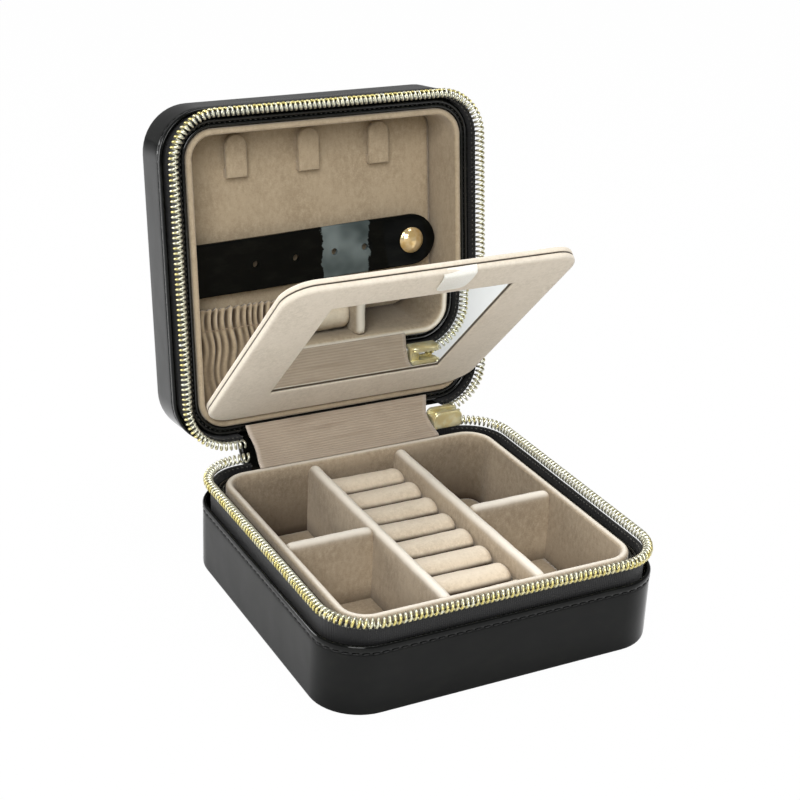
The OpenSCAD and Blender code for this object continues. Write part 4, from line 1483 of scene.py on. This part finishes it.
# crest marks: painted shade at the seam between the boards, and a pale turned edge with painted highlight on the
# rounding
rings, marks = [level(flap_edge(0.55), front + 1.8)], [-1.0]
for by, z, mark in ((0.22, front + 1.72, -1.0), (0.0, front + 1.35, 0.1), (0.0, front + 0.85, 0.3),
                    (0.12, front + 0.42, 0.4), (0.42, front + 0.12, 0.3), (0.95, front, 0.12)):
    rings.append(level(flap_edge(by), z))
    marks.append(mark)
start_edge, goal_edge = flap_edge(1.6), opening_edge(0.8)
for k in range(7):
    t = k / 6
    swell_by = -0.22 * math.sin(math.pi * (0.1 + 0.8 * t))
    rings.append([(a[0] + (b[0] - a[0]) * t, a[1] + (b[1] - a[1]) * t, front + swell_by * 0.6 + 0.02)
                  for a, b in zip(start_edge, goal_edge)])
    marks.append(0.08)
# painted shade on the inner wall of the mirror's opening
for by, z, mark in ((0.35, front + 0.08, 0.15), (0.08, front + 0.28, 0.0), (0.0, front + 0.5, -0.7),
                    (0.0, front + 0.8, -1.0), (1.7, front + 0.82, -1.0), (1.7, front + 1.8, 0.0)):
    rings.append(level(opening_edge(by), z))
    marks.append(mark)
border = ringed("flap_border_velvet", rings, FLAP, marks, closed=True)
dress(border, velvet_flap, "flap", ["flap_border"], crease=75)
# the back board's edge at the seam is painted shade too
rings, marks = [level(flap_edge(0.6), front + 1.8)], [-1.0]
for by, z, mark in ((0.24, front + 1.88, -1.0), (0.0, front + 2.2, 0.1), (0.0, front + 2.9, 0.3),
                    (0.15, -0.2, 0.5), (0.5, -0.03, 0.3), (1.2, 0.02, 0.1), (12.0, 0.1, 0.0), (30.0, 0.13, 0.0)):
    rings.append(level(flap_edge(by), z))
    marks.append(mark)
backing = ringed("flap_back_velvet", rings, FLAP, marks)
dress(backing, velvet_flap, "flap", ["flap_back"], crease=75)
print("flap border:", len(border.data.polygons), "faces, opening", MIRROR_W, "by", MIRROR_H, "mm")

# %% Mirror and its ivory tab
half, low, high = MIRROR_W / 2 + 1.5, -SILL - MIRROR_H - 1.5, -SILL + 1.5
glass = [(-half, low), (half, low), (half, high), (-half, high)]
plate = slab("mirror_plate", glass, front + 0.8, front + 1.8, 0.03, FLAP, low_edge=0.03)
dress(plate, mirror, "flap", ["mirror_glass"], crease=30)

rows, cols, points = 18, 10, []
for layer in (0, 1):
    for j in range(rows + 1):
        t = j / rows
        reach = -FLAP_LEN - 0.55 + 10.6 * t
        lift = -0.35 * math.sin(math.pi * min(1.0, t * 1.15)) - 0.1
        over = max(0.0, 1 - t / 0.14)
        wide = 5.0 - 0.6 * t
        if t > 0.8:
            wide -= 1.5 * (1 - math.sqrt(max(0.0, 1 - ((t - 0.8) / 0.2) ** 2)))
        for i in range(cols + 1):
            s = 2 * i / cols - 1
            z = front + lift * (1 - 0.3 * s * s) - 0.14 + 1.6 * over ** 1.5 + (0.0 if layer else -0.3)
            points.append((s * wide, reach + 0.35 * over, z))
tab_place = FLAP @ shift(5.2, -FLAP_LEN, 0) @ turn(-3, "Z") @ shift(0, FLAP_LEN, 0)
tab = make_mesh("flap_tab_ivory", points, sheet_faces(rows, cols), tab_place)
dress(tab, ivory, "flap", ["flap_tab"], crease=50)
print("mirror", MIRROR_W + 3, "mm wide behind its border")

# %% [markdown]
# ## Camera, floor and light
# The camera looks down on the case from the front left, slightly rolled. The light is a plain
# studio: a broad soft box in front and above, a paler one to the left, and a white surround. The
# floor is nearly white, so that the lacquer mirrors it, and it keeps the case's shadow.

# %% Camera
AZIMUTH, ELEVATION, ROLL = (math.radians(v) for v in (-28.54, 24.13, 2.70))
back = Vector((math.sin(AZIMUTH) * math.cos(ELEVATION), -math.cos(AZIMUTH) * math.cos(ELEVATION),
               math.sin(ELEVATION)))
side = (-back).cross(Vector((0, 0, 1))).normalized()
up = side.cross(-back)
right = side * math.cos(ROLL) + up * math.sin(ROLL)
upward = up * math.cos(ROLL) - side * math.sin(ROLL)
camera = bpy.data.objects.new("camera", bpy.data.cameras.new("camera"))
camera.data.lens, camera.data.sensor_width = 76.75, 36.0
camera.data.clip_start, camera.data.clip_end = 0.01, 20.0
axes = Matrix((right, upward, back)).transposed().to_4x4()
camera.matrix_world = Matrix.Translation((-0.21173, -0.37316, 0.25390)) @ axes
scene.collection.objects.link(camera)
scene.camera = camera
print("camera", round(camera.location.length * 100), "cm away, lens", camera.data.lens, "mm")


# %% Soft boxes
def soft_box(name, centre, target, size, power, colour=(1, 1, 1)):
    lamp = bpy.data.lights.new(name, "AREA")
    lamp.shape, lamp.size, lamp.size_y = "RECTANGLE", size[0], size[1]
    lamp.energy, lamp.color = power, colour
    box = bpy.data.objects.new(name, lamp)
    aim = (Vector(centre) - Vector(target)).to_track_quat("Z", "Y")
    box.matrix_world = Matrix.Translation(centre) @ aim.to_matrix().to_4x4()
    box.visible_camera = False
    scene.collection.objects.link(box)
    return box


soft_box("box_front", (-0.55, -0.85, 0.75), (0, 0, 0.05), (0.6, 0.6), 12.5)
soft_box("box_top", (0.25, 0.1, 1.1), (0, 0, 0.05), (0.7, 0.7), 9.0)
soft_box("box_left", (-0.55, 0.42, 0.16), (-0.05, 0.08, 0.08), (0.26, 0.34), 2.6)
print("three soft boxes")

# %% White surround and floor
world = bpy.data.worlds.new("white_surround")
world.use_nodes = True
scene.world = world
sky = Nodes(world.node_tree)
sky.tree.nodes.clear()
paths = sky.add("ShaderNodeLightPath").socket.node.outputs
seen = Wire(sky, paths["Is Camera Ray"])
shown = Wire(sky, paths["Is Glossy Ray"])
plain = sky.add("ShaderNodeBackground", None, {"Color": (0.95, 0.96, 1.0, 1.0), "Strength": 0.17})
white = sky.add("ShaderNodeBackground", None, {"Color": (1.0, 1.0, 1.0, 1.0), "Strength": 1.0})
dim = sky.add("ShaderNodeBackground", None, {"Color": (1.0, 1.0, 1.0, 1.0), "Strength": 0.30})
mixed = sky.add("ShaderNodeMixShader", None, {0: shown, 1: plain, 2: dim})
mixed = sky.add("ShaderNodeMixShader", None, {0: seen, 1: mixed, 2: white})
end = sky.tree.nodes.new("ShaderNodeOutputWorld")
sky.tree.links.new(mixed.socket, end.inputs[0])

ground = Finish("floor_white", Specular_IOR_Level=0.2, Emission_Color=(1, 1, 1, 1))
cloud = ground.noise(120.0, 2.0)
ground.feed("Base Color", ground.blend((0.80, 0.80, 0.80, 1), (0.84, 0.84, 0.84, 1), cloud))
ground.feed("Roughness", 0.7 + cloud * 0.1)
path_out = ground.add("ShaderNodeLightPath").socket.node.outputs
glow = ground.add("ShaderNodeEmission", None, {"Color": (1, 1, 1, 1), "Strength": 1.0})
through = Wire(ground, path_out["Is Camera Ray"])
lit = Wire(ground, ground.shader.outputs[0])
mixed = ground.add("ShaderNodeMixShader", None, {0: through * 0.985, 1: lit, 2: glow})
ground.tree.links.new(mixed.socket, ground.output.inputs[0])
FLOOR = 4000.0
sheet = [(-FLOOR, -FLOOR, 0), (FLOOR, -FLOOR, 0), (FLOOR, FLOOR, 0), (-FLOOR, FLOOR, 0)]
floor = make_mesh("floor", sheet, [(0, 1, 2, 3)], closed=False)
floor.data.transform(Matrix.Translation((0, 0, -0.0001)))
floor.data.materials.append(ground.material)
floor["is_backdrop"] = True
print("floor and surround are white")

# %% Bounds of the case, without the floor
low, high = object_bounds()
